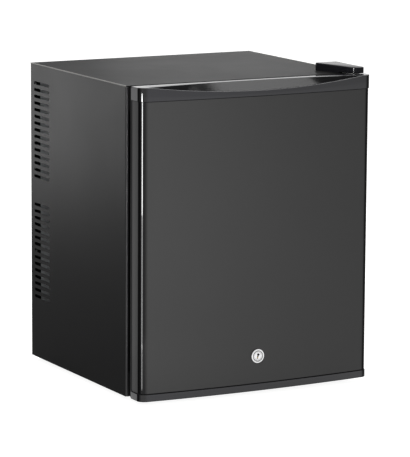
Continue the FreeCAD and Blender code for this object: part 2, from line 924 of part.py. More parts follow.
def fan_cover():
    """White vented cover that clamps the cold fan against its sink."""
    front = cold_fan_y - fan_cover_wall
    x = span(0, fan_cover_width)
    z = span(cooler_z, fan_cover_height)
    cover = plate_y(round_rect(x, z, fan_cover_radius), (front, cavity_back_y))
    inner_x = span(0, fan_cover_width - 2 * fan_cover_wall)
    inner_z = span(cooler_z, fan_cover_height - 2 * fan_cover_wall)
    inner = round_rect(inner_x, inner_z, fan_cover_radius - fan_cover_wall)
    cover = cover.cut(plate_y(inner, (front + fan_cover_wall, cavity_back_y + overrun)))
    slots = []
    through = (front - overrun, front + fan_cover_wall + overrun)
    for row in range(grille_rows):
        slot_z = cooler_z + (row - (grille_rows - 1) / 2) * grille_pitch
        slot_x = span(0, grille_length * grille_length_shares[row])
        corners = round_rect(slot_x, span(slot_z, grille_slot_height), grille_slot_height / 2)
        slots.append(plate_y(corners, through))
        side_y = (front + fan_cover_slot_inset, cavity_back_y - fan_cover_slot_inset)
        side = round_rect(side_y, span(slot_z, grille_slot_height), grille_slot_height / 2)
        slots.append(plate_x(side, (x[0] - overrun, x[1] + overrun)))
    return cover.cut(Part.makeCompound(slots))


# Control housing, with thermostat and lamp

housing_y = face_y + housing_front
housing_low_z = cavity_top_z - housing_height
knob_z = cavity_top_z - housing_height / 2


def control_housing():
    """White housing under the cavity roof."""
    x = span(0, housing_width)
    y = (housing_y, housing_y + housing_depth)
    shell = plate_z(round_rect(x, y, housing_radius), (housing_low_z, cavity_top_z))
    inner_x = span(0, housing_width - 2 * housing_wall)
    inner_y = (y[0] + housing_wall, y[1] - housing_wall)
    inner = round_rect(inner_x, inner_y, housing_radius - housing_wall)
    shell = shell.cut(plate_z(inner, (housing_low_z + housing_wall, cavity_top_z + overrun)))
    start = V(knob_offset, housing_y - overrun, knob_z)
    end = V(knob_offset, housing_y + housing_wall + overrun, knob_z)
    shell = shell.cut(rod(spindle_radius + fit_gap, start, end))
    window_y = span(housing_y + housing_depth / 2, lamp_length)
    window_z = (housing_low_z - overrun, housing_low_z + housing_wall + overrun)
    return shell.cut(block(span(lamp_offset, lamp_width), window_y, window_z))


def thermostat_body():
    """Thermostat block behind the housing front."""
    y = (housing_y + housing_wall, housing_y + housing_wall + thermostat_depth)
    body = block(span(knob_offset, thermostat_width), y, span(knob_z, thermostat_height))
    end = V(knob_offset, y[0] + spindle_bite, knob_z)
    return body.cut(rod(spindle_radius + running_gap, V(knob_offset, y[0] - overrun, knob_z), end))


def thermostat_spindle():
    """Spindle from the thermostat into the knob."""
    start = V(knob_offset, housing_y - knob_gap - knob_disc, knob_z)
    return rod(spindle_radius, start, V(knob_offset, housing_y + housing_wall + spindle_bite, knob_z))


def thermostat_knob():
    """Disc knob with a finger bar."""
    rear = housing_y - knob_gap
    front = rear - knob_disc
    disc = rod(knob_radius, V(knob_offset, front, knob_z), V(knob_offset, rear, knob_z))
    bar_z = span(knob_z, 2 * (knob_radius - knob_bar_inset))
    bar = round_rect(span(knob_offset, knob_bar_width), bar_z, knob_bar_width / 2)
    knob = disc.fuse(plate_y(bar, (front - knob_bar_rise, front))).removeSplitter()
    return knob.cut(rod(spindle_radius, V(knob_offset, front, knob_z), V(knob_offset, rear, knob_z)))


lamp_y = housing_y + housing_depth / 2


def lamp_lens():
    """Clear dish in the housing floor."""
    x = span(lamp_offset, lamp_width)
    y = span(lamp_y, lamp_length)
    dish = block(x, y, (housing_low_z, housing_low_z + lamp_rise))
    inner_x = span(lamp_offset, lamp_width - 2 * lamp_wall)
    inner_y = span(lamp_y, lamp_length - 2 * lamp_wall)
    inner_z = (housing_low_z + lamp_wall, housing_low_z + lamp_rise + overrun)
    return dish.cut(block(inner_x, inner_y, inner_z))


def lamp_board():
    """Lamp board with its light chips, on the rim of the lens."""
    low = housing_low_z + lamp_rise
    z = (low, low + lamp_board_thickness)
    board = block(span(lamp_offset, lamp_width), span(lamp_y, lamp_length), z)
    chips = []
    step = lamp_width / (lamp_chip_count + 1)
    for index in range(lamp_chip_count):
        x = lamp_offset - lamp_width / 2 + step * (index + 1)
        chips.append(block(span(x, lamp_chip), span(lamp_y, lamp_chip), (low - lamp_chip_height, low)))
    return board.multiFuse(chips).removeSplitter()


# Electrics in the rear compartment

supply_y = bulkhead_y + supply_gap
inlet_z = base_z + inlet_drop


def power_supply():
    """Cased supply and control board on the base pan."""
    x = span(supply_x, supply_width)
    y = (supply_y, supply_y + supply_depth)
    low = base_z + sheet
    case = plate_z(round_rect(x, y, supply_radius), (low, low + supply_height))
    slots = []
    for index in range(supply_slot_count):
        offset = (index - (supply_slot_count - 1) / 2) * supply_slot_pitch
        slot_x = span(supply_x + offset, supply_slot_width)
        slot_z = span(low + supply_height / 2, supply_height / 2)
        slots.append(block(slot_x, (y[1] - supply_slot_depth, y[1] + overrun), slot_z))
    return case.cut(Part.makeCompound(slots))


def mains_inlet():
    """Appliance inlet socket set in the rear cover."""
    out = rear_y + sheet + screw_head_height
    end = rear_y - inlet_body_length
    flange_x = span(inlet_x, inlet_flange_width)
    flange_z = span(inlet_z, inlet_flange_height)
    flange = plate_y(round_rect(flange_x, flange_z, inlet_corner_radius), (rear_y + sheet, out))
    body_x = span(inlet_x, inlet_body_width)
    body_z = span(inlet_z, inlet_body_height)
    body = plate_y(round_rect(body_x, body_z, inlet_corner_radius), (end, out))
    mouth_x = span(inlet_x, inlet_mouth_width)
    mouth_z = span(inlet_z, inlet_mouth_height)
    mouth = round_rect(mouth_x, mouth_z, inlet_corner_radius)
    inlet = flange.fuse(body).removeSplitter().cut(plate_y(mouth, (out - inlet_mouth_depth, out + overrun)))
    return inlet.cut(inlet_pins())


def inlet_pins():
    """Three brass contact pins, straight through the back of the socket."""
    y = (rear_y - inlet_body_length - pin_tail, rear_y + sheet + screw_head_height - pin_setback)
    low = inlet_z - pin_drop_share * inlet_mouth_height
    high = inlet_z + pin_drop_share * inlet_mouth_height
    places = ((-pin_spread, low), (0, high), (pin_spread, low))
    pins = [block(span(inlet_x + x, pin_width), y, span(z, pin_height)) for x, z in places]
    return Part.makeCompound(pins)


def supply_lead():
    """Lead from the inlet to the supply."""
    start = V(inlet_x, rear_y - inlet_body_length, inlet_z - inlet_body_height / 2 + lead_radius)
    middle_y = supply_y + supply_depth / 2
    corner = V(inlet_x, middle_y, start.z)
    return lead([start, corner, V(supply_x + supply_width / 2, middle_y, start.z)], lead_radius, lead_bend)


def fan_lead():
    """Lead from the supply up to the hot fan."""
    y = hot_fan_y + hot_fan_depth / 2
    x = -hot_fan_size / 2 - fan_lead_side
    z = cooler_z - fan_lead_drop
    start = V(x, y, base_z + sheet + supply_height)
    return lead([start, V(x, y, z), V(-hot_fan_size / 2, y, z)], lead_radius, lead_bend)


# Hinges

leaf_high_z = door_top_z + leaf_gap + leaf_thickness
pin_low_z = door_top_z - hinge_pin_bite


def top_hinge_leaf():
    """Joggled leaf on the roof that reaches out over the door."""
    right = half_width - leaf_inset
    left = right - leaf_width
    rear = face_y + leaf_reach
    outline = [
        (left, rear, leaf_thickness),
        (right - leaf_front_width, face_y, 0),
        (right, face_y, 0),
        (right, rear, leaf_thickness),
    ]
    plate = plate_z(outline, (roof_z, roof_z + leaf_thickness))
    nose_x = span(hinge_x, 2 * leaf_nose_radius)
    riser = block(nose_x, (face_y, face_y + leaf_thickness), (roof_z, leaf_high_z))
    nose = [
        (nose_x[0], hinge_y - leaf_nose_radius, leaf_nose_radius),
        (nose_x[1], hinge_y - leaf_nose_radius, leaf_nose_radius),
        (nose_x[1], face_y + leaf_thickness, 0),
        (nose_x[0], face_y + leaf_thickness, 0),
    ]
    reach = plate_z(nose, (leaf_high_z - leaf_thickness, leaf_high_z))
    leaf = plate.fuse(riser).fuse(reach).removeSplitter()
    holes = [rod(hinge_pin_radius, V(hinge_x, hinge_y, roof_z), V(hinge_x, hinge_y, leaf_high_z + overrun))]
    for x, y in leaf_screw_places():
        radius = screw_shank_radius + screw_gap
        holes.append(rod(radius, V(x, y, roof_z - overrun), V(x, y, roof_z + leaf_thickness + overrun)))
    return leaf.cut(Part.makeCompound(holes))


def top_hinge_pin():
    """Headed pin through the leaf into the door."""
    pin = rod(hinge_pin_radius, V(hinge_x, hinge_y, pin_low_z), V(hinge_x, hinge_y, leaf_high_z))
    head = V(hinge_x, hinge_y, leaf_high_z + hinge_pin_head)
    return pin.fuse(rod(hinge_pin_head_radius, V(hinge_x, hinge_y, leaf_high_z), head)).removeSplitter()


def top_hinge_screws():
    """Screws that hold the leaf."""
    screws = []
    for x, y in leaf_screw_places():
        seat = V(x, y, roof_z + leaf_thickness)
        screws.append(pan_screw(seat, V(0, 0, -1), screw_head_radius, screw_head_height,
                                screw_shank_radius, screw_length))
    return Part.makeCompound(screws)


def hinge_cover_corners(inset):
    """Plan outline of the hinge cover, drawn in by a wall."""
    right = half_width - hinge_cover_inset
    rear = face_y + hinge_cover_rear_reach
    slant = hinge_cover_rear_reach + hinge_cover_left_reach
    lean = (hinge_cover_rear_width - hinge_cover_front_width) / slant
    side = inset * math.hypot(1, lean)
    tilt = (hinge_cover_left_reach - hinge_cover_right_reach) / hinge_cover_front_width
    nose = inset * math.hypot(1, tilt)
    left_rear = right - hinge_cover_rear_width + side - inset * lean
    left_front = right - hinge_cover_front_width + side + (nose + inset * tilt) * lean
    front_left = face_y - hinge_cover_left_reach + nose - side * tilt
    front_right = face_y - hinge_cover_right_reach + nose + inset * tilt
    return [
        (left_rear, rear - inset, hinge_cover_rear_radius - inset),
        (left_front, front_left, hinge_cover_nose_radius - inset),
        (right - inset, front_right, hinge_cover_rear_radius - inset),
        (right - inset, rear - inset, hinge_cover_rear_radius - inset),
    ]


def hinge_cover():
    """Moulded cover over the leaf, clear of the door where it reaches forward."""
    top = roof_z + hinge_cover_height
    shell = plate_z(hinge_cover_corners(0), (roof_z, top))
    shell = shell.makeFillet(hinge_cover_edge, edges_at(shell, lambda p: p.z > top - tolerance))
    hollow = plate_z(hinge_cover_corners(hinge_cover_wall), (roof_z - overrun, top - hinge_cover_wall))
    ahead = block(span(0, 2 * half_width), (crown_y, face_y), (roof_z - overrun, door_top_z + leaf_gap))
    return shell.cut(hollow).cut(ahead)


def bottom_hinge_bracket():
    """Flat bracket under the base pan that carries the door."""
    right = half_width - bracket_inset
    rear = face_y + bracket_reach
    corners = [
        (right - bracket_width, rear, bracket_thickness),
        (hinge_x - bracket_nose_radius, hinge_y - bracket_nose_radius, bracket_nose_radius),
        (hinge_x + bracket_nose_radius, hinge_y - bracket_nose_radius, bracket_nose_radius),
        (right, rear, bracket_thickness),
    ]
    bracket = plate_z(corners, (base_z - bracket_thickness, base_z))
    low = base_z - bracket_thickness - overrun
    holes = [rod(hinge_pin_radius, V(hinge_x, hinge_y, low), V(hinge_x, hinge_y, base_z + overrun))]
    for x, y in bracket_screw_places():
        holes.append(rod(screw_shank_radius + screw_gap, V(x, y, low), V(x, y, base_z + overrun)))
    return bracket.cut(Part.makeCompound(holes))


def bottom_hinge_pin():
    """Pin standing up from the bracket into the door."""
    low = V(hinge_x, hinge_y, base_z - bracket_thickness)
    return rod(hinge_pin_radius, low, V(hinge_x, hinge_y, door_low_z + hinge_pin_bite))


def bottom_hinge_screws():
    """Screws that hold the bracket to the base pan."""
    screws = []
    for x, y in bracket_screw_places():
        seat = V(x, y, base_z - bracket_thickness)
        screws.append(pan_screw(seat, V(0, 0, 1), screw_head_radius, screw_head_height,
                                screw_shank_radius, screw_length))
    return Part.makeCompound(screws)


# Door shell

def door_plan(grow, back_y):
    """Plan face of the door: bowed front, rounded corners and a flat back."""
    bow = bow_radius + grow
    corner = door_corner_radius + grow
    corner_x = half_width - door_corner_radius
    corner_y = bow_centre_y - math.sqrt((bow_radius - door_corner_radius) ** 2 - corner_x ** 2)
    out = (V(corner_x, corner_y, 0) - V(0, bow_centre_y, 0)).normalize()
    tangent = V(0, bow_centre_y, 0) + out * bow
    tip = V(corner_x, corner_y, 0) + (out + V(1, 0, 0)).normalize() * corner
    side = corner_x + corner
    right = V(side, corner_y, 0)
    other = [V(-p.x, p.y, 0) for p in (tangent, tip, right)]
    back_right = V(side, back_y, 0)
    back_left = V(-side, back_y, 0)
    edges = [
        Part.LineSegment(back_left, back_right),
        Part.LineSegment(back_right, right),
        Part.Arc(right, tip, tangent),
        Part.Arc(tangent, V(0, bow_centre_y - bow, 0), other[0]),
        Part.Arc(other[0], other[1], other[2]),
        Part.LineSegment(other[2], back_left),
    ]
    return Part.Face(Part.Wire([edge.toShape() for edge in edges]))


def door_slab(grow, back_y, z):
    """Door plan thickened between two heights."""
    slab = door_plan(grow, back_y).extrude(V(0, 0, z[1] - z[0]))
    slab.translate(V(0, 0, z[0]))
    return slab


def lock_hole(radius):
    """Round way through the door on the lock's axis."""
    return rod(radius, V(lock_x, crown_y - overrun, lock_z), V(lock_x, dyke_y + overrun, lock_z))


def door_skin():
    """Bowed steel front wrapped round the door's edges."""
    z = (low_seam_z, top_seam_z)
    skin = door_slab(0, door_back_y, z).cut(door_slab(-sheet, door_back_y - sheet, z))
    open_x = span(0, 2 * (half_width - door_flange))
    skin = skin.cut(block(open_x, (door_back_y - 2 * sheet, door_back_y + overrun), z))
    return skin.cut(lock_hole(barrel_radius))


def grip_plan(grow):
    """Plan face of the finger pocket behind the top cap's lip."""
    front = bow_radius + cap_proud - grip_lip
    end_x = half_width - grip_end_inset
    end_y = bow_centre_y - math.sqrt(front ** 2 - end_x ** 2)
    left = V(-end_x, end_y, 0)
    right = V(end_x, end_y, 0)
    near = Part.Arc(left, V(0, bow_centre_y - front, 0), right)
    far = Part.Arc(right, V(0, bow_centre_y - front + grip_depth, 0), left)
    wire = Part.Wire([near.toShape(), far.toShape()])
    return Part.Face(wire.makeOffset2D(grow) if grow else wire)


def grip_scoop():
    """Curved cut that lowers the lip in front of the pocket."""
    front = bow_radius + cap_proud - grip_lip
    end_x = half_width - grip_end_inset
    end_y = bow_centre_y - math.sqrt(front ** 2 - end_x ** 2)
    y = crown_y - cap_proud - overrun
    left = V(-end_x, y, door_top_z)
    right = V(end_x, y, door_top_z)
    low = V(0, y, door_top_z - grip_sag)
    high_left = V(-end_x, y, door_top_z + overrun)
    high_right = V(end_x, y, door_top_z + overrun)
    edges = [
        Part.Arc(left, low, right),
        Part.LineSegment(right, high_right),
        Part.LineSegment(high_right, high_left),
        Part.LineSegment(high_left, left),
    ]
    wire = Part.Wire([edge.toShape() for edge in edges])
    return Part.Face(wire).extrude(V(0, end_y - y, 0))


def bush_radius():
    """Outer radius of the hinge bushes."""
    return hinge_pin_radius + running_gap + bush_wall


def bush_post(radius, z):
    """Round post on the hinge axis."""
    return rod(radius, V(hinge_x, hinge_y, z[0]), V(hinge_x, hinge_y, z[1]))


def top_cap_hollow():
    """Foam-filled room inside the top cap."""
    z = (top_seam_z, door_top_z - cap_wall)
    room = door_slab(cap_proud - cap_wall, door_back_y - cap_wall, z)
    pocket = grip_plan(cap_wall).extrude(V(0, 0, top_cap_height))
    pocket.translate(V(0, 0, top_seam_z))
    post = bush_post(bush_radius() + cap_wall, z)
    return room.cut(pocket).cut(post)


def door_top_cap():
    """Glossy top moulding with the finger pocket."""
    cap = door_slab(cap_proud, door_back_y, (top_seam_z, door_top_z))
    cap = cap.makeFillet(cap_edge, edges_at(cap, lambda p: p.z > door_top_z - tolerance))
    pocket = grip_plan(0).extrude(V(0, 0, top_cap_height))
    pocket.translate(V(0, 0, top_seam_z + grip_floor))
    cap = cap.cut(pocket).cut(grip_scoop()).cut(top_cap_hollow())
    return cap.cut(bush_post(bush_radius(), (pin_low_z - bush_wall, door_top_z + overrun)))


def bottom_cap_hollow():
    """Foam-filled room inside the bottom cap."""
    z = (door_low_z + cap_wall, low_seam_z)
    room = door_slab(cap_proud - cap_wall, door_back_y - cap_wall, z)
    return room.cut(bush_post(bush_radius() + cap_wall, z))


def door_bottom_cap():
    """Low bottom moulding."""
    cap = door_slab(cap_proud, door_back_y, (door_low_z, low_seam_z))
    cap = cap.makeFillet(cap_edge, edges_at(cap, lambda p: p.z < door_low_z + tolerance))
    cap = cap.cut(bottom_cap_hollow())
    return cap.cut(bush_post(bush_radius(), (door_low_z - overrun, low_seam_z + overrun)))


def upper_hinge_bush():
    """Nylon bush in the top cap."""
    z = (pin_low_z - bush_wall, door_top_z)
    bush = bush_post(bush_radius(), z)
    bore_z = (pin_low_z - running_gap, door_top_z + overrun)
    return bush.cut(bush_post(hinge_pin_radius + running_gap, bore_z))


def lower_hinge_bush():
    """Nylon bush in the bottom of the door."""
    high = door_low_z + hinge_pin_bite
    bush = bush_post(bush_radius(), (door_low_z, high + bush_wall))
    return bush.cut(bush_post(hinge_pin_radius + running_gap, (door_low_z - overrun, high + running_gap)))


def hinge_washer():
    """Thrust washer between the bracket and the door."""
    z = (base_z, door_low_z)
    washer = bush_post(washer_radius, z)
    return washer.cut(bush_post(hinge_pin_radius + running_gap, (z[0] - overrun, z[1] + overrun)))


# Door inside

def gasket_ring(inset, ring_width, y, radius):
    """Rectangular ring on the gasket's line."""
    x = half_width - gasket_inset - inset
    z = (gasket_low_z + inset, gasket_high_z - inset)
    outer = plate_y(round_rect((-x, x), z, radius), y)
    hole_x = x - ring_width
    hole_z = (z[0] + ring_width, z[1] - ring_width)
    through = (y[0] - overrun, y[1] + overrun)
    return outer.cut(plate_y(round_rect((-hole_x, hole_x), hole_z, radius), through))


def gasket_magnets():
    """Four magnet strips inside the gasket head."""
    rear = face_y - gasket_clear - magnet_cover
    y = (rear - magnet_thickness, rear)
    line_x = half_width - gasket_inset - gasket_width / 2
    line_z = (gasket_low_z + gasket_width / 2, gasket_high_z - gasket_width / 2)
    upright_z = (gasket_low_z + gasket_width, gasket_high_z - gasket_width)
    across_x = span(0, 2 * line_x - gasket_width)
    strips = [block(span(x, magnet_width), y, upright_z) for x in (-line_x, line_x)]
    strips += [block(across_x, y, span(z, magnet_width)) for z in line_z]
    return Part.makeCompound(strips)


def door_gasket():
    """Soft seal with a foot, a neck and a magnet pocket."""
    neck_y = liner_face_y + gasket_base
    head_y = neck_y + gasket_neck
    foot = gasket_ring(0, gasket_width, (liner_face_y, neck_y), gasket_radius)
    neck_width = gasket_width - 2 * gasket_neck_inset
    neck = gasket_ring(gasket_neck_inset, neck_width, (neck_y, head_y), gasket_radius)
    head = gasket_ring(0, gasket_width, (head_y, face_y - gasket_clear), gasket_radius)
    return foot.fuse(neck).fuse(head).removeSplitter().cut(gasket_magnets())


def dyke_limits(inset):
    """Outline of the raised middle of the door liner."""
    x = dyke_x - inset
    return round_rect((-x, x), (dyke_low_z + inset, dyke_high_z - inset), dyke_radius - inset)


def rack_lugs(rack_z):
    """Pair of lugs on the ridges that carry one rack."""
    z = (rack_z + lug_rise - lug_height, rack_z + lug_rise)
    y = (dyke_y + lug_setback, dyke_y + lug_setback + lug_width)
    lug = block((ridge_x - lug_reach, ridge_x), y, z)
    return [lug, mirrored_x(lug)]


def door_liner():
    """White inner panel with its raised middle, two ridges and rack lugs."""
    x = span(0, 2 * (half_width - sheet - fit_gap))
    panel = block(x, (liner_face_y - liner_wall, liner_face_y), (low_seam_z, top_seam_z))
    raised = plate_y(dyke_limits(0), (liner_face_y - liner_wall, dyke_y))
    core = plate_y(dyke_limits(liner_wall), (liner_face_y - liner_wall - overrun, dyke_y - liner_wall))
    ridge_end_x = ridge_x + ridge_width
    ridge_y = (dyke_y - liner_wall, face_y + ridge_depth)
    ridge_corners = [
        (ridge_x, ridge_y[0], 0),
        (ridge_end_x, ridge_y[0], 0),
        (ridge_end_x, ridge_y[1], ridge_radius),
        (ridge_x, ridge_y[1], ridge_radius),
    ]
    ridge = plate_z(ridge_corners, (dyke_low_z + ridge_low_inset, dyke_high_z - ridge_high_inset))
    liner = panel.fuse(raised).cut(core)
    pieces = [ridge, mirrored_x(ridge)] + rack_lugs(lower_rack_z) + rack_lugs(upper_rack_z)
    return liner.multiFuse(pieces).removeSplitter().cut(lock_hole(barrel_radius))


def door_magnet():
    """Magnet in the door foam that works the reed switch."""
    y = liner_face_y - liner_wall - sensor_setback
    return sensor_box((y - sensor_thickness, y))


def door_foam():
    """Foamed-in core of the door."""
    z = (low_seam_z, top_seam_z)
    foam = door_slab(-sheet, liner_face_y - liner_wall, z)
    foam = foam.fuse(top_cap_hollow()).fuse(bottom_cap_hollow())
    swell_y = (liner_face_y - liner_wall, dyke_y - liner_wall)
    foam = foam.fuse(plate_y(dyke_limits(liner_wall), swell_y)).removeSplitter()
    foam = foam.cut(lock_hole(barrel_radius)).cut(door_magnet())
    foam = foam.cut(bush_post(bush_radius(), (door_low_z, door_low_z + hinge_pin_bite + bush_wall)))
    return foam.cut(bush_post(bush_radius(), (pin_low_z - bush_wall, door_top_z)))


# Lock

def lock_barrel():
    """Threaded barrel with its bezel on the door's front."""
    front = crown_y - lock_proud
    bezel = rod(bezel_radius, V(lock_x, front, lock_z), V(lock_x, crown_y, lock_z))
    rim = [edge for edge in bezel.Edges if edge.Closed and abs(edge.BoundBox.YMax - front) < tolerance]
    bezel = bezel.makeChamfer(bezel_chamfer, rim)
    end = V(lock_x, dyke_y + lock_nut_thickness + barrel_tail, lock_z)
    barrel = bezel.fuse(rod(barrel_radius, V(lock_x, crown_y, lock_z), end)).removeSplitter()
    groove_end = V(lock_x, front + bezel_groove_depth, lock_z)
    ahead = V(lock_x, front - overrun, lock_z)
    groove = rod(bezel_groove_outer, ahead, groove_end).cut(rod(bezel_groove_inner, ahead, groove_end))
    return barrel.cut(groove).cut(rod(plug_radius + running_gap, ahead, end + V(0, overrun, 0)))


def lock_plug():
    """Keyed plug with a square tail for the cam."""
    front = crown_y - lock_proud + plug_setback
    plug = rod(plug_radius, V(lock_x, front, lock_z), V(lock_x, cam_y, lock_z))
    tail = block(span(lock_x, cam_square), (cam_y, cam_y + cam_thickness), span(lock_z, cam_square))
    slot_y = (front - overrun, front + keyway_depth)
    slot = block(span(lock_x, keyway_width), slot_y, span(lock_z, keyway_height))
    slot = slot.rotated(V(lock_x, 0, lock_z), V(0, 1, 0), keyway_lean)
    end = cam_y + cam_thickness
    hole = rod(cam_screw_shank, V(lock_x, end - cam_screw_length, lock_z), V(lock_x, end + overrun, lock_z))
    return plug.fuse(tail).removeSplitter().cut(slot).cut(hole)


def lock_cam():
    """Cam plate that swings down behind the sealing face."""
    half = cam_width / 2
    corners = [
        (lock_x - cam_reach, lock_z - half, half / 2),
        (lock_x + half, lock_z - half, half / 2),
        (lock_x + half, lock_z + half, half / 2),
        (lock_x - cam_reach, lock_z + half, half / 2),
    ]
    y = (cam_y, cam_y + cam_thickness)
    return plate_y(corners, y).cut(block(span(lock_x, cam_square), y, span(lock_z, cam_square)))


def lock_cam_screw():
    """Screw that holds the cam on the plug."""
    seat = V(lock_x, cam_y + cam_thickness, lock_z)
    return pan_screw(seat, V(0, -1, 0), cam_screw_radius, cam_screw_height,
                     cam_screw_shank, cam_screw_length)


def lock_nut():
    """Hexagon nut inside the door."""
    y = (dyke_y, dyke_y + lock_nut_thickness)
    corners = []
    for angle in range(0, 360, 60):
        turn = math.radians(angle)
        across = lock_x + lock_nut_radius * math.cos(turn)
        corners.append((across, lock_z + lock_nut_radius * math.sin(turn), 0))
    bore = rod(barrel_radius, V(lock_x, y[0] - overrun, lock_z), V(lock_x, y[1] + overrun, lock_z))
    return plate_y(corners, y).cut(bore)


# Racks and shelf

def rack(low, height):
    """Open tray that hangs on a pair of lugs."""
    half = ridge_x - rack_gap
    y = (dyke_y + fit_gap, dyke_y + rack_depth)
    outer = [
        (-half, y[0], 0),
        (half, y[0], 0),
        (half, y[1], rack_corner_radius),
        (-half, y[1], rack_corner_radius),
    ]
    room = half - rack_end
    room_radius = rack_corner_radius - rack_wall
    inner = [
        (-room, y[0] + rack_wall, 0),
        (room, y[0] + rack_wall, 0),
        (room, y[1] - rack_wall, room_radius),
        (-room, y[1] - rack_wall, room_radius),
    ]
    tray_body = plate_z(outer, (low, low + height))
    tray_body = tray_body.cut(plate_z(inner, (low + rack_floor, low + height + overrun)))
    behind = block((-half - overrun, half + overrun), (y[0] - overrun, y[0] + rack_wall),
                   (low + rack_back_height, low + height + overrun))
    groove_y = (dyke_y + lug_setback - fit_gap, dyke_y + lug_setback + lug_width + fit_gap)
    groove_x = (ridge_x - lug_reach - fit_gap, ridge_x)
    groove = block(groove_x, groove_y, (low - overrun, low + lug_rise))
    cuts = [behind, groove, mirrored_x(groove)]
    slot_count = int((2 * (room - room_radius) - rack_slot_width) // rack_slot_pitch) + 1
    for index in range(slot_count):
        x = span((index - (slot_count - 1) / 2) * rack_slot_pitch, rack_slot_width)
        z = (low + rack_slot_low, low + height - rack_slot_high)
        slot = round_rect(x, z, rack_slot_width / 2 - fit_gap)
        cuts.append(plate_y(slot, (y[1] - rack_wall - overrun, y[1] + overrun)))
    return tray_body.cut(Part.makeCompound(cuts))


def shelf():
    """Welded wire shelf resting on a pair of ribs."""
    x = cavity_x - shelf_side_gap - shelf_rim_radius
    y = (face_y + shelf_front, cavity_back_y - shelf_back_gap - shelf_rim_radius)
    z = shelf_z + shelf_rim_radius + fit_gap
    corners = [V(-x, y[0], z), V(x, y[0], z), V(x, y[1], z), V(-x, y[1], z)]
    wires = []
    for start, end in zip(corners, corners[1:] + corners[:1]):
        wires.append(rod(shelf_rim_radius, start, end))
        wires.append(Part.makeSphere(shelf_rim_radius, start))
    step = 2 * x / (shelf_rod_count + 1)
    for index in range(shelf_rod_count):
        rod_x = -x + step * (index + 1)
        wires.append(rod(shelf_rod_radius, V(rod_x, y[0], z), V(rod_x, y[1], z)))
    return wires[0].multiFuse(wires[1:]).removeSplitter()


# Node names and their solids
left = side_panel()
nodes = {
    "left_side_panel": left,
    "right_side_panel": mirrored_x(left),
    "top_panel": top_panel(),
    "base_pan": base_pan(),
    "rear_bulkhead": rear_bulkhead(),
    "rear_cover": rear_cover(),
    "rear_cover_screws": rear_cover_screws(),
    "feet": feet(),
    "inner_liner": inner_liner(),
    "cabinet_foam": cabinet_foam(),
    "lock_strike": lock_strike(),
    "reed_switch": reed_switch(),
    "peltier_module": peltier_module(),
    "cold_block": cold_block(),
    "cold_sink": cold_sink(),
    "hot_sink": hot_sink(),
    "sink_screws": sink_screws(),
    "cold_fan_frame": fan_frame(cold_fan_size, cold_fan_depth, cold_fan_y, []),
    "cold_fan_rotor": fan_rotor(cold_fan_size, cold_fan_depth, cold_fan_y),
    "hot_fan_frame": fan_frame(hot_fan_size, hot_fan_depth, hot_fan_y, hot_fan_bolt_places()),
    "hot_fan_rotor": fan_rotor(hot_fan_size, hot_fan_depth, hot_fan_y),
    "hot_fan_screws": hot_fan_screws(),
    "fan_cover": fan_cover(),
    "control_housing": control_housing(),
    "thermostat_body": thermostat_body(),
    "thermostat_spindle": thermostat_spindle(),
    "thermostat_knob": thermostat_knob(),
    "lamp_lens": lamp_lens(),
    "lamp_board": lamp_board(),
    "power_supply": power_supply(),
    "mains_inlet": mains_inlet(),
    "inlet_pins": inlet_pins(),
    "supply_lead": supply_lead(),
    "fan_lead": fan_lead(),
    "top_hinge_leaf": top_hinge_leaf(),
    "top_hinge_pin": top_hinge_pin(),
    "top_hinge_screws": top_hinge_screws(),
    "hinge_cover": hinge_cover(),
    "bottom_hinge_bracket": bottom_hinge_bracket(),
    "bottom_hinge_pin": bottom_hinge_pin(),
    "bottom_hinge_screws": bottom_hinge_screws(),
    "door_skin": door_skin(),
    "door_top_cap": door_top_cap(),
    "door_bottom_cap": door_bottom_cap(),
    "door_foam": door_foam(),
    "door_liner": door_liner(),
    "door_gasket": door_gasket(),
    "gasket_magnets": gasket_magnets(),
    "door_magnet": door_magnet(),
    "upper_hinge_bush": upper_hinge_bush(),
    "lower_hinge_bush": lower_hinge_bush(),
    "hinge_washer": hinge_washer(),
    "lock_barrel": lock_barrel(),
    "lock_nut": lock_nut(),
    "lock_plug": lock_plug(),
    "lock_cam": lock_cam(),
    "lock_cam_screw": lock_cam_screw(),
    "lower_rack": rack(lower_rack_z, lower_rack_height),
    "upper_rack": rack(upper_rack_z, upper_rack_height),
    "shelf": shelf(),
}

os.makedirs("parts", exist_ok=True)
for name, shape in nodes.items():
    shape.exportStep("parts/" + name + ".step")
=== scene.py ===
"""Small thermoelectric refrigerator: looks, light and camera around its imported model."""

import json
import logging
import math
from dataclasses import dataclass
from enum import Enum
from typing import Iterable, Optional, Sequence, Union

import bmesh
import bpy
from bpy.types import Material, Mesh, Node, NodeInputs, NodeOutputs, NodeSocket, NodeTree, Object
from mathutils import Matrix, Vector


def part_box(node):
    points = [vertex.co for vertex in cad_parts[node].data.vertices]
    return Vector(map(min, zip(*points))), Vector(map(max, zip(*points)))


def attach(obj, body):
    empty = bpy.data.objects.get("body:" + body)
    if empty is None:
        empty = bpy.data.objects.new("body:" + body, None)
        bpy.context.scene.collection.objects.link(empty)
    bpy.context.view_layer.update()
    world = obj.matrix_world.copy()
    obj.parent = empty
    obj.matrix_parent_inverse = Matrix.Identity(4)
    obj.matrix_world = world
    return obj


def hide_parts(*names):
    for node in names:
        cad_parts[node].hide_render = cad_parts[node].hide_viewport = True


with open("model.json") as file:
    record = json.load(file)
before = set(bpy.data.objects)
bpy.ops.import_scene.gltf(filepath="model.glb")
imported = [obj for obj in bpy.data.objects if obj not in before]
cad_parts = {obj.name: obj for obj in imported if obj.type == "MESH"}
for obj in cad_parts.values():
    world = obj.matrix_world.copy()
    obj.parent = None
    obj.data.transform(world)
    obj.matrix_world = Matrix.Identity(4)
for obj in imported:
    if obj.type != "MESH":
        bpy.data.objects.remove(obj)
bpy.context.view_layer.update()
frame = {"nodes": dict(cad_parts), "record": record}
LOG = logging.getLogger("fridge")
MM = 0.001

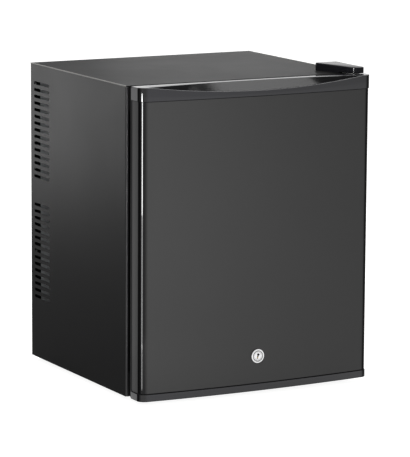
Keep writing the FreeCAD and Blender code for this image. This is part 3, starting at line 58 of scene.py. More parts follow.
Colour = tuple[float, float, float]
Place = tuple[float, float, float]
Point = tuple[float, float]
Rings = Sequence[Sequence[Vector]]
Shape = tuple[list[Vector], list[list[int]]]
Source = Union[Node, NodeSocket, float, Sequence[float]]

SHADER_TREE = "ShaderNodeTree"
GEOMETRY_TREE = "GeometryNodeTree"
WHITE = (1.0, 1.0, 1.0, 1.0)
DUST_COLOUR = (0.42, 0.41, 0.39, 1.0)
FLOOR_COLOUR = (0.42, 0.42, 0.42, 1.0)
# Painted dark reflection: the near-black that rounded upright edges take in place of the reflection of a dark room.
DARK_REFLECTION_COLOUR = (0.0016, 0.0016, 0.0018, 1.0)
EDGE_GLOSS = 0.05  # share of the specular level that a dull edge keeps
COLOUR_MIX = (0, 6, 7)  # inputs of a mix node for its share and two colours
COLOUR_MIXED = 2
SHARP_DEG = 30.0  # edges above this angle stay sharp
WELD = 1e-6  # corners closer than this become one
SLIVER = 1e-7
CORNER_STEPS = 8
BARREL_RADIUS = 9 * MM


# Node trees

class NodeGraph:
    """Adds and links nodes in one tree."""

    def __init__(self, tree: NodeTree) -> None:
        """Keeps the shader or geometry tree to build in."""
        self.tree = tree

    def add(self, kind: str, *sources: Source, **values: object) -> Node:
        """Adds a node and fills its inputs.

        Args:
            kind: Node class name.
            sources: What goes into the first inputs, in order.
            values: Properties of the node, or what goes into its inputs by name.

        Returns:
            The new node.
        """
        node = self.tree.nodes.new(kind)
        for key, value in values.items():
            if hasattr(node, key):
                setattr(node, key, value)
            else:
                self.feed(value, node.inputs[key.replace("_", " ")])
        for source, target in zip(sources, node.inputs):
            self.feed(source, target)
        return node

    def feed(self, source: Source, target: NodeSocket) -> None:
        """Links a socket or a node's first output to an input, or sets the input's value.

        Args:
            source: Node, socket or plain value.
            target: Input to fill.
        """
        if isinstance(source, Node):
            source = source.outputs[0]
        if isinstance(source, NodeSocket):
            self.tree.links.new(source, target)
        else:
            target.default_value = source

    def math(self, operation: str, *sources: Source) -> Node:
        """Adds a math node that works on the sources."""
        return self.add("ShaderNodeMath", *sources, operation=operation)

    def ramp(self, source: Source, ends: Point, lowest: Source = 0.0, highest: Source = 1.0) -> Node:
        """Maps what lies between two ends to the range from lowest to highest, held past both."""
        return self.add("ShaderNodeMapRange", source, *ends, lowest, highest)

    def mix(self, share: Source, first: Source, second: Source) -> NodeSocket:
        """Mixes two colours.

        Args:
            share: Share of the second colour.
            first: Colour at share 0.
            second: Colour at share 1.

        Returns:
            The mixed colour.
        """
        node = self.add("ShaderNodeMix", data_type="RGBA")
        for index, source in zip(COLOUR_MIX, (share, first, second)):
            self.feed(source, node.inputs[index])
        return node.outputs[COLOUR_MIXED]


Group = tuple[NodeGraph, NodeOutputs, NodeInputs]


def new_tree(name: str, kind: str, inputs: dict[str, str], outputs: dict[str, str]) -> Group:
    """Makes an empty node group with its sockets.

    Args:
        name: Group name.
        kind: Tree class.
        inputs: Socket kinds of the inputs by label.
        outputs: Socket kinds of the outputs by label.

    Returns:
        Its graph, the sockets that bring its inputs, and the sockets that take its outputs.
    """
    tree = bpy.data.node_groups.new(name, kind)
    for side, sockets in (("INPUT", inputs), ("OUTPUT", outputs)):
        for label, socket in sockets.items():
            tree.interface.new_socket(label, in_out=side, socket_type="NodeSocket" + socket)
    graph = NodeGraph(tree)
    return graph, graph.add("NodeGroupInput").outputs, graph.add("NodeGroupOutput").inputs


# Shader groups and finishes

class Pattern(Enum):
    """Kinds of surface pattern."""

    GRAIN = "grain"
    BRUSHED = "brushed"
    SPANGLE = "spangle"


@dataclass(frozen=True)
class EdgeBand:
    """Ranges of the sideways part of the normal over which a mask of the upright edges rises, for the painted dark
    reflection and the dulled gloss.
    """

    left: Point
    right: Point


# Where on the rounded upright edges the painted dark reflection lies, and where the gloss is dulled.
DARK_REFLECTION_BAND = EdgeBand((-0.09, -0.45), (0.085, 0.35))
REFLECTION_DULL_BAND = EdgeBand((-0.74, -0.92), (0.1, 0.35))
FLAT_SIDE = (0.9995, 0.991)  # sideways parts of the normal, from a flat side to a rounded edge
UP_FACING = (0.5, 1.0)  # upward parts of the normal over which dust settles
WIPE_SPAN = (0.3, 0.7)  # values of the noise that the wipe marks span


class ShaderGroups:
    """The node groups that the materials share."""

    def __init__(self) -> None:
        """Builds the groups once."""
        self.grain = self._grain()
        self.spangle = self._spangle()
        self.dust = self._dust()
        self.smudge = self._smudge()
        # Masks of the painted dark reflection and of the dulled gloss on rounded upright edges.
        self.edges = self._edge_reflection_masks()

    @staticmethod
    def _grain() -> NodeTree:
        """Fine surface grain, with a slow drift under it.

        Returns:
            The group.
        """
        graph, given, made = new_tree("surface_grain", SHADER_TREE,
                                      {"Vector": "Vector", "Fineness": "Float", "Drift": "Float"},
                                      {"Grain": "Float", "Slow": "Float"})
        for size, detail, rough, label in (("Fineness", 3.0, 0.6, "Grain"), ("Drift", 2.0, 0.5, "Slow")):
            noise = graph.add("ShaderNodeTexNoise", Vector=given["Vector"], Scale=given[size], Detail=detail,
                              Roughness=rough)
            graph.feed(noise, made[label])
        return graph.tree

    @staticmethod
    def _spangle() -> NodeTree:
        """Crystal flowers of hot-dip zinc.

        Returns:
            The group.
        """
        graph, given, made = new_tree("zinc_spangle", SHADER_TREE, {"Vector": "Vector", "Fineness": "Float"},
                                      {"Crystal": "Float", "Boundary": "Float"})
        cells, edges = (graph.add("ShaderNodeTexVoronoi", feature=feature, Vector=given["Vector"],
                                  Scale=given["Fineness"]) for feature in ("F1", "DISTANCE_TO_EDGE"))
        graph.feed(graph.add("ShaderNodeSeparateColor", cells.outputs["Color"]), made["Crystal"])
        graph.feed(edges.outputs["Distance"], made["Boundary"])
        return graph.tree

    @staticmethod
    def _dust() -> NodeTree:
        """Thin dust on surfaces that face up.

        Returns:
            The group.
        """
        graph, given, made = new_tree("settled_dust", SHADER_TREE, {"Vector": "Vector", "Amount": "Float"},
                                      {"Mask": "Float"})
        facing = graph.add("ShaderNodeNewGeometry")
        parts = graph.add("ShaderNodeSeparateXYZ", facing.outputs["Normal"])
        upward = graph.ramp(parts.outputs["Z"], UP_FACING)
        patches = graph.add("ShaderNodeTexNoise", Vector=given["Vector"], Scale=38.0, Detail=5.0, Roughness=0.65)
        level = graph.math("MULTIPLY", graph.math("MULTIPLY", upward, patches), given["Amount"])
        graph.feed(level, made["Mask"])
        return graph.tree

    @staticmethod
    def _smudge() -> NodeTree:
        """Soft wipe marks that change the gloss a little.

        Returns:
            The group.
        """
        graph, given, made = new_tree("wipe_marks", SHADER_TREE, {"Vector": "Vector", "Low": "Float", "High": "Float"},
                                      {"Roughness": "Float"})
        wipe = graph.add("ShaderNodeTexNoise", Vector=given["Vector"], Scale=9.0, Detail=4.0, Roughness=0.55,
                         Distortion=0.8)
        graph.feed(graph.ramp(wipe, WIPE_SPAN, given["Low"], given["High"]), made["Roughness"])
        return graph.tree

    @staticmethod
    def _edge_reflection_masks() -> NodeTree:
        """Masks of the rounded upright edges: where a painted dark reflection darkens the paint, and where the paint
        loses its gloss.

        Returns:
            The group.
        """
        graph, given, made = new_tree("painted_edge_reflection", SHADER_TREE, {"Normal": "Vector", "Flat Dull": "Float"},
                                      {"Dark": "Float", "Dull": "Float"})
        turn = graph.add("ShaderNodeSeparateXYZ", given["Normal"]).outputs["X"]
        across = graph.math("ABSOLUTE", turn)
        # Dark masks the painted dark reflection; Dull masks where the gloss drops.
        for label, band, flat in (("Dark", DARK_REFLECTION_BAND, 0.0), ("Dull", REFLECTION_DULL_BAND, given["Flat Dull"])):
            either = graph.math("MAXIMUM", graph.ramp(turn, band.left), graph.ramp(turn, band.right))
            graph.feed(graph.math("MULTIPLY", either, graph.ramp(across, FLAT_SIDE, flat)), made[label])
        return graph.tree


GROUPS = ShaderGroups()


@dataclass(frozen=True)
class Finish:
    """One procedural finish; lengths are in metres.

    The grain moves between two colours and the wipe marks between two values of roughness. Grain and depth are its size
    and height. A finish with flat_dull takes a painted dark reflection on its rounded upright edges, and loses that
    share of gloss on flat sides.
    """

    name: str
    colour: Colour
    shade: Colour
    gloss: Point
    grain: float
    depth: float
    metallic: float = 0.0
    specular: float = 0.5
    coat: float = 0.0
    coat_gloss: float = 0.05
    clear: float = 0.0
    dust: float = 0.0
    # Share of gloss lost on flat sides; when set, the rounded upright edges also take the painted dark reflection.
    flat_dull: Optional[float] = None
    drift: float = 12.0
    stretch: Place = (1.0, 1.0, 1.0)
    pattern: Pattern = Pattern.GRAIN
    slot: str = ""

    def material(self) -> Material:
        """Builds the material, or gives the one already built.

        Returns:
            A node material in object coordinates.
        """
        found = bpy.data.materials.get(self.name)
        if found is not None and found.get("fridge_finish"):
            return found
        material = bpy.data.materials.new(self.name)
        material["fridge_finish"] = True
        material.use_nodes = True
        material.diffuse_color = (*self.colour, 1.0)
        material.node_tree.nodes.clear()
        graph = NodeGraph(material.node_tree)
        spot = graph.add("ShaderNodeTexCoord").outputs
        tint, height = self._pattern(graph, graph.add("ShaderNodeMapping", Vector=spot["Object"], Scale=self.stretch))
        paint = graph.mix(tint, (*self.colour, 1.0), (*self.shade, 1.0))
        if self.dust > 0.0:
            dust = graph.add("ShaderNodeGroup", node_tree=GROUPS.dust, Vector=spot["Object"], Amount=self.dust)
            paint = graph.mix(dust, paint, DUST_COLOUR)
        specular: Source = self.specular
        # Painted dark reflection: rounded upright edges turn near-black, and their specular level drops so the white
        # surroundings do not show there.
        if self.flat_dull is not None:
            edges = graph.add("ShaderNodeGroup", node_tree=GROUPS.edges, Normal=spot["Normal"],
                              Flat_Dull=self.flat_dull)
            specular = graph.ramp(edges.outputs["Dull"], (0.0, 1.0), self.specular, self.specular * EDGE_GLOSS)
            paint = graph.mix(edges.outputs["Dark"], paint, DARK_REFLECTION_COLOUR)
        marks = graph.add("ShaderNodeGroup", node_tree=GROUPS.smudge, Vector=spot["Object"], Low=self.gloss[0],
                          High=self.gloss[1])
        bump = graph.add("ShaderNodeBump", Strength=1.0, Distance=self.depth, Height=height)
        shader = graph.add("ShaderNodeBsdfPrincipled", Base_Color=paint, Roughness=marks, Normal=bump,
                           Metallic=self.metallic, Specular_IOR_Level=specular, Coat_Weight=self.coat,
                           Coat_Roughness=self.coat_gloss, Transmission_Weight=self.clear)
        graph.add("ShaderNodeOutputMaterial", shader)
        return material

    def _pattern(self, graph: NodeGraph, place: Source) -> tuple[NodeSocket, NodeSocket]:
        """Adds the pattern.

        Args:
            graph: The material's graph.
            place: Object coordinates, stretched.

        Returns:
            Sockets for the colour mix and for the bump height.
        """
        fineness = 1.0 / self.grain
        if self.pattern is Pattern.SPANGLE:
            made = graph.add("ShaderNodeGroup", node_tree=GROUPS.spangle, Vector=place, Fineness=fineness).outputs
            return made["Crystal"], made["Boundary"]
        made = graph.add("ShaderNodeGroup", node_tree=GROUPS.grain, Vector=place, Fineness=fineness,
                         Drift=self.drift).outputs
        return made["Grain" if self.pattern is Pattern.BRUSHED else "Slow"], made["Grain"]


CABINET_PAINT = Finish("cabinet_paint", (0.0115, 0.0115, 0.0118), (0.0135, 0.0135, 0.0138), (0.42, 0.45), 0.0009,
                       0.00001, specular=0.008, dust=0.01)
EDGE_PAINT = Finish("edge_paint", (0.012, 0.012, 0.013), (0.014, 0.014, 0.015), (0.28, 0.34), 0.0009, 0.000006,
                    specular=0.2, slot="cabinet_paint")
# Painted highlight: a pale colour on the folds along the top edges, standing in for the light line that the bends
# catch.
FOLD_HIGHLIGHT_PAINT = Finish("painted_fold_highlight", (0.16, 0.157, 0.145), (0.20, 0.196, 0.18), (0.30, 0.38), 0.003, 0.00001,
                    specular=0.3, slot="cabinet_paint")
# The door paint takes the painted dark reflection on its rounded upright edges.
DOOR_PAINT = Finish("door_paint", (0.035, 0.035, 0.035), (0.037, 0.037, 0.037), (0.07, 0.10), 0.0009, 0.000002,
                    specular=0.20, flat_dull=0.75)
# The gloss black caps take the painted dark reflection on their rounded upright edges.
GLOSS_BLACK = Finish("gloss_black", (0.016, 0.016, 0.019), (0.018, 0.018, 0.021), (0.05, 0.09), 0.004, 0.000002,
                     specular=0.42, dust=0.01, flat_dull=0.0)
# Painted shade: near-black, low-gloss colour for the lining of the finger grip, where the recess lies in shadow.
GRIP_SHADE_BLACK = Finish("grip_painted_shade", (0.005, 0.005, 0.006), (0.007, 0.007, 0.008), (0.05, 0.09), 0.004, 0.000002,
                    specular=0.08, slot="gloss_black")
# Painted shade: near-black, nearly matte colour for the seam strips and the door's rear rim, standing in for the shadow
# lines in the seams and the shaded gap behind the door.
SHADE_BLACK = Finish("painted_gap_shade", (0.004, 0.004, 0.0045), (0.006, 0.006, 0.0065), (0.4, 0.5), 0.002, 0.000004,
                    specular=0.02, slot="gloss_black")
SATIN_BLACK = Finish("satin_black", (0.014, 0.014, 0.017), (0.017, 0.017, 0.020), (0.12, 0.16), 0.002, 0.000004,
                     specular=0.035, slot="gloss_black")
GALVANISED = Finish("galvanised", (0.44, 0.45, 0.46), (0.53, 0.54, 0.55), (0.36, 0.48), 0.006, 0.00001,
                    metallic=0.85, pattern=Pattern.SPANGLE)
ZINC_STEEL = Finish("zinc_steel", (0.50, 0.50, 0.49), (0.62, 0.61, 0.58), (0.22, 0.38), 0.0012, 0.00001,
                    metallic=1.0, pattern=Pattern.BRUSHED)
GROOVE_METAL = Finish("groove_metal", (0.20, 0.20, 0.20), (0.28, 0.28, 0.28), (0.35, 0.5), 0.0015, 0.00002,
                      metallic=1.0, slot="zinc_steel")
CHROME = Finish("bright_chrome", (0.62, 0.62, 0.625), (0.70, 0.70, 0.705), (0.07, 0.15), 0.003, 0.000003,
                metallic=1.0)
ALUMINIUM = Finish("bare_aluminium", (0.62, 0.63, 0.64), (0.74, 0.75, 0.76), (0.28, 0.42), 0.0008, 0.00001,
                   metallic=1.0, stretch=(1.0, 1.0, 0.04), pattern=Pattern.BRUSHED)
WHITE_PLASTIC = Finish("white_plastic", (0.77, 0.77, 0.75), (0.81, 0.81, 0.79), (0.25, 0.36), 0.0016, 0.00001)
LAMP_CLEAR = Finish("lamp_clear", (0.92, 0.94, 0.95), (0.96, 0.97, 0.97), (0.12, 0.2), 0.002, 0.00004, clear=0.85)
BLACK_PLASTIC = Finish("black_plastic", (0.018, 0.018, 0.019), (0.026, 0.026, 0.027), (0.42, 0.55), 0.0008, 0.00003)
NYLON = Finish("natural_nylon", (0.72, 0.69, 0.60), (0.78, 0.75, 0.66), (0.35, 0.45), 0.002, 0.00001)
BLACK_RUBBER = Finish("black_rubber", (0.016, 0.016, 0.016), (0.024, 0.024, 0.024), (0.65, 0.8), 0.0007, 0.00005,
                      specular=0.3)
# The seal's own dark grey, darkened further as painted shade for the gap between the door and the cabinet.
GREY_SEAL_AND_GAP_SHADE = Finish("grey_seal", (0.010, 0.010, 0.011), (0.015, 0.015, 0.016), (0.5, 0.62), 0.0008, 0.00003,
                   specular=0.3)
RIGID_FOAM = Finish("rigid_foam", (0.72, 0.62, 0.38), (0.80, 0.71, 0.48), (0.8, 0.95), 0.0015, 0.0003)
CERAMIC = Finish("white_ceramic", (0.78, 0.78, 0.76), (0.84, 0.84, 0.82), (0.4, 0.5), 0.001, 0.00002)
MAGNET = Finish("dark_magnet", (0.06, 0.05, 0.05), (0.09, 0.08, 0.075), (0.6, 0.75), 0.0009, 0.00004)
BOARD = Finish("green_board", (0.02, 0.16, 0.06), (0.03, 0.22, 0.09), (0.3, 0.42), 0.0012, 0.00002)
BRASS = Finish("pin_brass", (0.66, 0.48, 0.20), (0.76, 0.58, 0.28), (0.18, 0.3), 0.001, 0.00001, metallic=1.0)
WHITE_WIRE = Finish("white_wire", (0.78, 0.78, 0.77), (0.83, 0.83, 0.82), (0.15, 0.25), 0.002, 0.00001, coat=0.3)

SLOT_FINISHES: dict[str, Finish] = {
    finish.name: finish
    for finish in (
        CABINET_PAINT, DOOR_PAINT, GLOSS_BLACK, GALVANISED, ZINC_STEEL, CHROME, ALUMINIUM, WHITE_PLASTIC, LAMP_CLEAR,
        BLACK_PLASTIC, NYLON, BLACK_RUBBER, GREY_SEAL_AND_GAP_SHADE, RIGID_FOAM, CERAMIC, MAGNET, BOARD, BRASS, WHITE_WIRE,
    )
}


# Mesh tools

def to_mesh(name: str, points: Sequence[Vector], faces: Sequence[Sequence[int]], sharp_deg: float = SHARP_DEG) -> Mesh:
    """Makes a clean, outward-facing mesh with smooth shading between sharp edges.

    Args:
        name: Mesh name.
        points: Corners in metres.
        faces: Corner indices of each face.
        sharp_deg: Angle above which an edge stays sharp.

    Returns:
        The mesh.
    """
    mesh = bpy.data.meshes.new(name)
    mesh.from_pydata([tuple(point) for point in points], [], [list(face) for face in faces])
    work = bmesh.new()
    work.from_mesh(mesh)
    bmesh.ops.remove_doubles(work, verts=work.verts, dist=WELD)
    bmesh.ops.dissolve_degenerate(work, edges=work.edges, dist=SLIVER)
    bmesh.ops.recalc_face_normals(work, faces=work.faces)
    work.to_mesh(mesh)
    work.free()
    soften(mesh, sharp_deg)
    return mesh


def soften(mesh: Mesh, sharp_deg: float) -> None:
    """Shades a mesh smooth, with the edges above an angle kept sharp.

    Args:
        mesh: Mesh to shade.
        sharp_deg: That angle.
    """
    mesh.polygons.foreach_set("use_smooth", [True] * len(mesh.polygons))
    mesh.set_sharp_from_angle(angle=math.radians(sharp_deg))
    mesh.update()


def merged(name: str, meshes: Iterable[Mesh]) -> Mesh:
    """Joins separate meshes into one.

    Args:
        name: Name of the result.
        meshes: Meshes to join.

    Returns:
        The joined mesh.
    """
    work = bmesh.new()
    for mesh in meshes:
        work.from_mesh(mesh)
    result = bpy.data.meshes.new(name)
    work.to_mesh(result)
    work.free()
    soften(result, SHARP_DEG)
    return result


def add_piece(name: str, mesh: Mesh, finish: Finish, body: str, *nodes: str) -> None:
    """Puts a mesh in the scene on a body, in place of the nodes it stands for.

    Args:
        name: Piece name.
        mesh: Mesh in the part's frame.
        finish: Finish to dress it in.
        body: Body it moves with.
        nodes: Nodes that it replaces.
    """
    mesh.materials.clear()
    mesh.materials.append(finish.material())
    piece = bpy.data.objects.new(name, mesh)
    bpy.context.scene.collection.objects.link(piece)
    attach(piece, body)
    if nodes:
        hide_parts(*nodes)
    LOG.info("%s: %d faces on %s", name, len(mesh.polygons), body)


def add_shape(name: str, shape: Shape, finish: Finish, body: str, *nodes: str, sharp_deg: float = SHARP_DEG) -> None:
    """Makes a piece from corners and faces."""
    add_piece(name, to_mesh(name, *shape, sharp_deg), finish, body, *nodes)


def loft(rings: Rings, closed: bool = False) -> Shape:
    """Joins rings of equal length with quads, filling the two ends unless the loft is closed on itself.

    Args:
        rings: Closed rings with matching corners.
        closed: Whether the last ring joins the first.

    Returns:
        Corners and faces.
    """
    points = [point for ring in rings for point in ring]
    count = len(rings[0])
    faces = []
    for row in range(len(rings) if closed else len(rings) - 1):
        here = row * count
        there = ((row + 1) % len(rings)) * count
        for index in range(count):
            step = (index + 1) % count
            faces.append([here + index, here + step, there + step, there + index])
    if not closed:
        faces.append(list(range(count)))
        faces.append(list(range(len(points) - count, len(points))))
    return points, faces


def arc(centre: Point, radius: float, start_deg: float, end_deg: float, steps: int) -> list[Point]:
    """Points along an arc, both ends included."""
    turns = [math.radians(start_deg + (end_deg - start_deg) * index / steps) for index in range(steps + 1)]
    return [(centre[0] + radius * math.cos(turn), centre[1] + radius * math.sin(turn)) for turn in turns]


def circle(centre: Point, radius: float, steps: int) -> list[Point]:
    """Points round a full circle."""
    return arc(centre, radius, 0, 360, steps)[:-1]


def quarter_shares(steps: int) -> list[float]:
    """Shares from 0 to 1, closer together towards 1."""
    return [math.sin(math.pi / 2 * index / steps) for index in range(steps + 1)]


def both_halves(right: list[float]) -> list[float]:
    """Places of the right half with those of the left half before them."""
    return [-x for x in reversed(right[1:])] + right


def rounded_loop(corners: Sequence[Place], steps: int = CORNER_STEPS) -> list[Point]:
    """Rounds the corners (u, v, radius) of a convex loop.

    Args:
        corners: Corners in order.
        steps: Segments in each corner.

    Returns:
        Points of the loop.
    """
    loop: list[Point] = []
    count = len(corners)
    for index, (u, v, radius) in enumerate(corners):
        here = Vector((u, v))
        back = (Vector(corners[index - 1][:2]) - here).normalized()
        ahead = (Vector(corners[(index + 1) % count][:2]) - here).normalized()
        half = back.angle(ahead) / 2
        centre = here + (back + ahead).normalized() * (radius / math.sin(half))
        first = here + back * (radius / math.tan(half)) - centre
        last = here + ahead * (radius / math.tan(half)) - centre
        for step in range(steps + 1):
            turned = first.lerp(last, step / steps).normalized() * radius
            loop.append((centre.x + turned.x, centre.y + turned.y))
    return loop


def rounded_box(low: Point, high: Point, radius: float, steps: int = CORNER_STEPS) -> list[Point]:
    """Loop of a box with rounded corners."""
    (u0, v0), (u1, v1) = low, high
    return rounded_loop([(u0, v0, radius), (u1, v0, radius), (u1, v1, radius), (u0, v1, radius)], steps)


def axis_of(low: Vector, high: Vector) -> Point:
    """Middle of a box in x and z."""
    return (low.x + high.x) / 2, (low.z + high.z) / 2


def lathe(profile: Sequence[Point], axis: Point, segments: int = 96) -> Shape:
    """Turns a closed profile (radius, y) about an axis along y.

    Args:
        profile: Closed profile.
        axis: Place of the axis in x and z.
        segments: Steps round the axis.

    Returns:
        Corners and faces.
    """
    rings = []
    for index in range(segments):
        turn = 2 * math.pi * index / segments
        rings.append([Vector((axis[0] + r * math.cos(turn), y, axis[1] + r * math.sin(turn))) for r, y in profile])
    return loft(rings, closed=True)


def carve(mesh: Mesh, cutters: Iterable[Mesh]) -> Mesh:
    """Cuts meshes out of a mesh.

    Args:
        mesh: Mesh to cut.
        cutters: Closed meshes to take away.

    Returns:
        The cut mesh.
    """
    scene = bpy.context.scene
    work = bpy.data.objects.new("carve_work", mesh)
    scene.collection.objects.link(work)
    tools = []
    for cutter in cutters:
        tool = bpy.data.objects.new("carve_tool", cutter)
        scene.collection.objects.link(tool)
        modifier = work.modifiers.new("cut", "BOOLEAN")
        modifier.operation = "DIFFERENCE"
        modifier.solver = "EXACT"
        modifier.object = tool
        tools.append(tool)
    bpy.context.view_layer.update()
    result = bpy.data.meshes.new_from_object(work.evaluated_get(bpy.context.evaluated_depsgraph_get()))
    for item in (work, *tools):
        bpy.data.objects.remove(item)
    soften(result, SHARP_DEG)
    return result


def box_mesh(low: Vector, high: Vector, turn: Optional[Matrix] = None) -> Mesh:
    """Plain box, turned about its middle.

    Args:
        low: Its lowest corner.
        high: Its highest corner.
        turn: Rotation, if any.

    Returns:
        The mesh.
    """
    corners = [Vector((x, y, z)) for x in (low.x, high.x) for y in (low.y, high.y) for z in (low.z, high.z)]
    middle = (low + high) / 2
    if turn is not None:
        corners = [middle + turn @ (corner - middle) for corner in corners]
    faces = [[0, 1, 3, 2], [4, 6, 7, 5], [0, 4, 5, 1], [2, 3, 7, 6], [0, 2, 6, 4], [1, 5, 7, 3]]
    return to_mesh("box", corners, faces)


def node_mesh(name: str, tree: NodeTree, values: dict[str, object], base: Mesh) -> Mesh:
    """Runs a geometry tree on a base mesh and gives the plain mesh.

    Args:
        name: Name of the result.
        tree: Geometry tree.
        values: Input values by label.
        base: Mesh that the tree starts from.

    Returns:
        The realised mesh.
    """
    work = bpy.data.objects.new(name + "_work", base)
    bpy.context.scene.collection.objects.link(work)
    modifier = work.modifiers.new("build", "NODES")
    modifier.node_group = tree
    for item in tree.interface.items_tree:
        if item.item_type == "SOCKET" and item.in_out == "INPUT" and item.name in values:
            modifier[item.identifier] = values[item.name]
    bpy.context.view_layer.update()
    mesh = bpy.data.meshes.new_from_object(work.evaluated_get(bpy.context.evaluated_depsgraph_get()))
    bpy.data.objects.remove(work)
    mesh.name = name
    return mesh


# The door

@dataclass(frozen=True)
class DoorPlan:
    """Bowed front with rounded corners and a flat back, in metres."""

    half_width: float
    crown_y: float
    back_y: float
    bow: float = 9 * MM
    corner: float = 12.5 * MM
    bend_steps: int = 5
    corner_steps: int = 18
    front_steps: int = 72

    @property
    def bow_radius(self) -> float:
        """Radius of the bowed front."""
        return (self.half_width ** 2 + self.bow ** 2) / (2 * self.bow)

    @property
    def corner_centre(self) -> Point:
        """Centre of the right corner's arc."""
        x = self.half_width - self.corner
        return x, self.crown_y + self.bow_radius - math.sqrt((self.bow_radius - self.corner) ** 2 - x ** 2)

    def tangent_x(self, grow: float) -> float:
        """Where the bow meets the corner arc.

        Args:
            grow: How far outside the plan the line runs.

        Returns:
            The place across.
        """
        x, y = self.corner_centre
        out = Vector((x, y - self.crown_y - self.bow_radius)).normalized()
        return out.x * (self.bow_radius + grow)

    def front_y(self, x: float, grow: float) -> float:
        """Front surface at a place across.

        Args:
            x: Place across.
            grow: How far outside the plan the surface runs.

        Returns:
            Its y.
        """
        across = abs(x)
        if across <= self.tangent_x(grow):
            radius = self.bow_radius + grow
            return self.crown_y + self.bow_radius - math.sqrt(radius ** 2 - across ** 2)
        centre_x, centre_y = self.corner_centre
        radius = self.corner + grow
        return centre_y - math.sqrt(max(radius ** 2 - (across - centre_x) ** 2, 0.0))

    def wrap(self, grow: float, back_y: float, flange: float, bend: float) -> list[Point]:
        """Line of the wrapped skin from one return flange round to the other.

        Args:
            grow: How far outside the plan the line runs.
            back_y: Plane of the return flanges.
            flange: Width of the return flanges from the plan's side.
            bend: Radius of the rear bends.

        Returns:
            Points from right to left.
        """
        side = self.half_width + grow
        right: list[Point] = [(self.half_width - flange, back_y)]
        right += arc((side - bend, back_y - bend), bend, 90, 0, self.bend_steps)
        centre = self.corner_centre
        start_deg = math.degrees(math.atan2(centre[1] - self.crown_y - self.bow_radius, centre[0]))
        right += arc(centre, self.corner + grow, 0, start_deg, self.corner_steps)
        tangent = self.tangent_x(grow)
        front = [tangent - 2 * tangent * index / self.front_steps for index in range(1, self.front_steps)]
        left = [(-x, y) for x, y in reversed(right)]
        return right + [(x, self.front_y(x, grow)) for x in front] + left


@dataclass(frozen=True)
class CapEnds:
    """Heights of a cap's seam and free face, and whether the finger grip is cut into it."""

    seam_z: float
    edge_z: float
    grip: bool


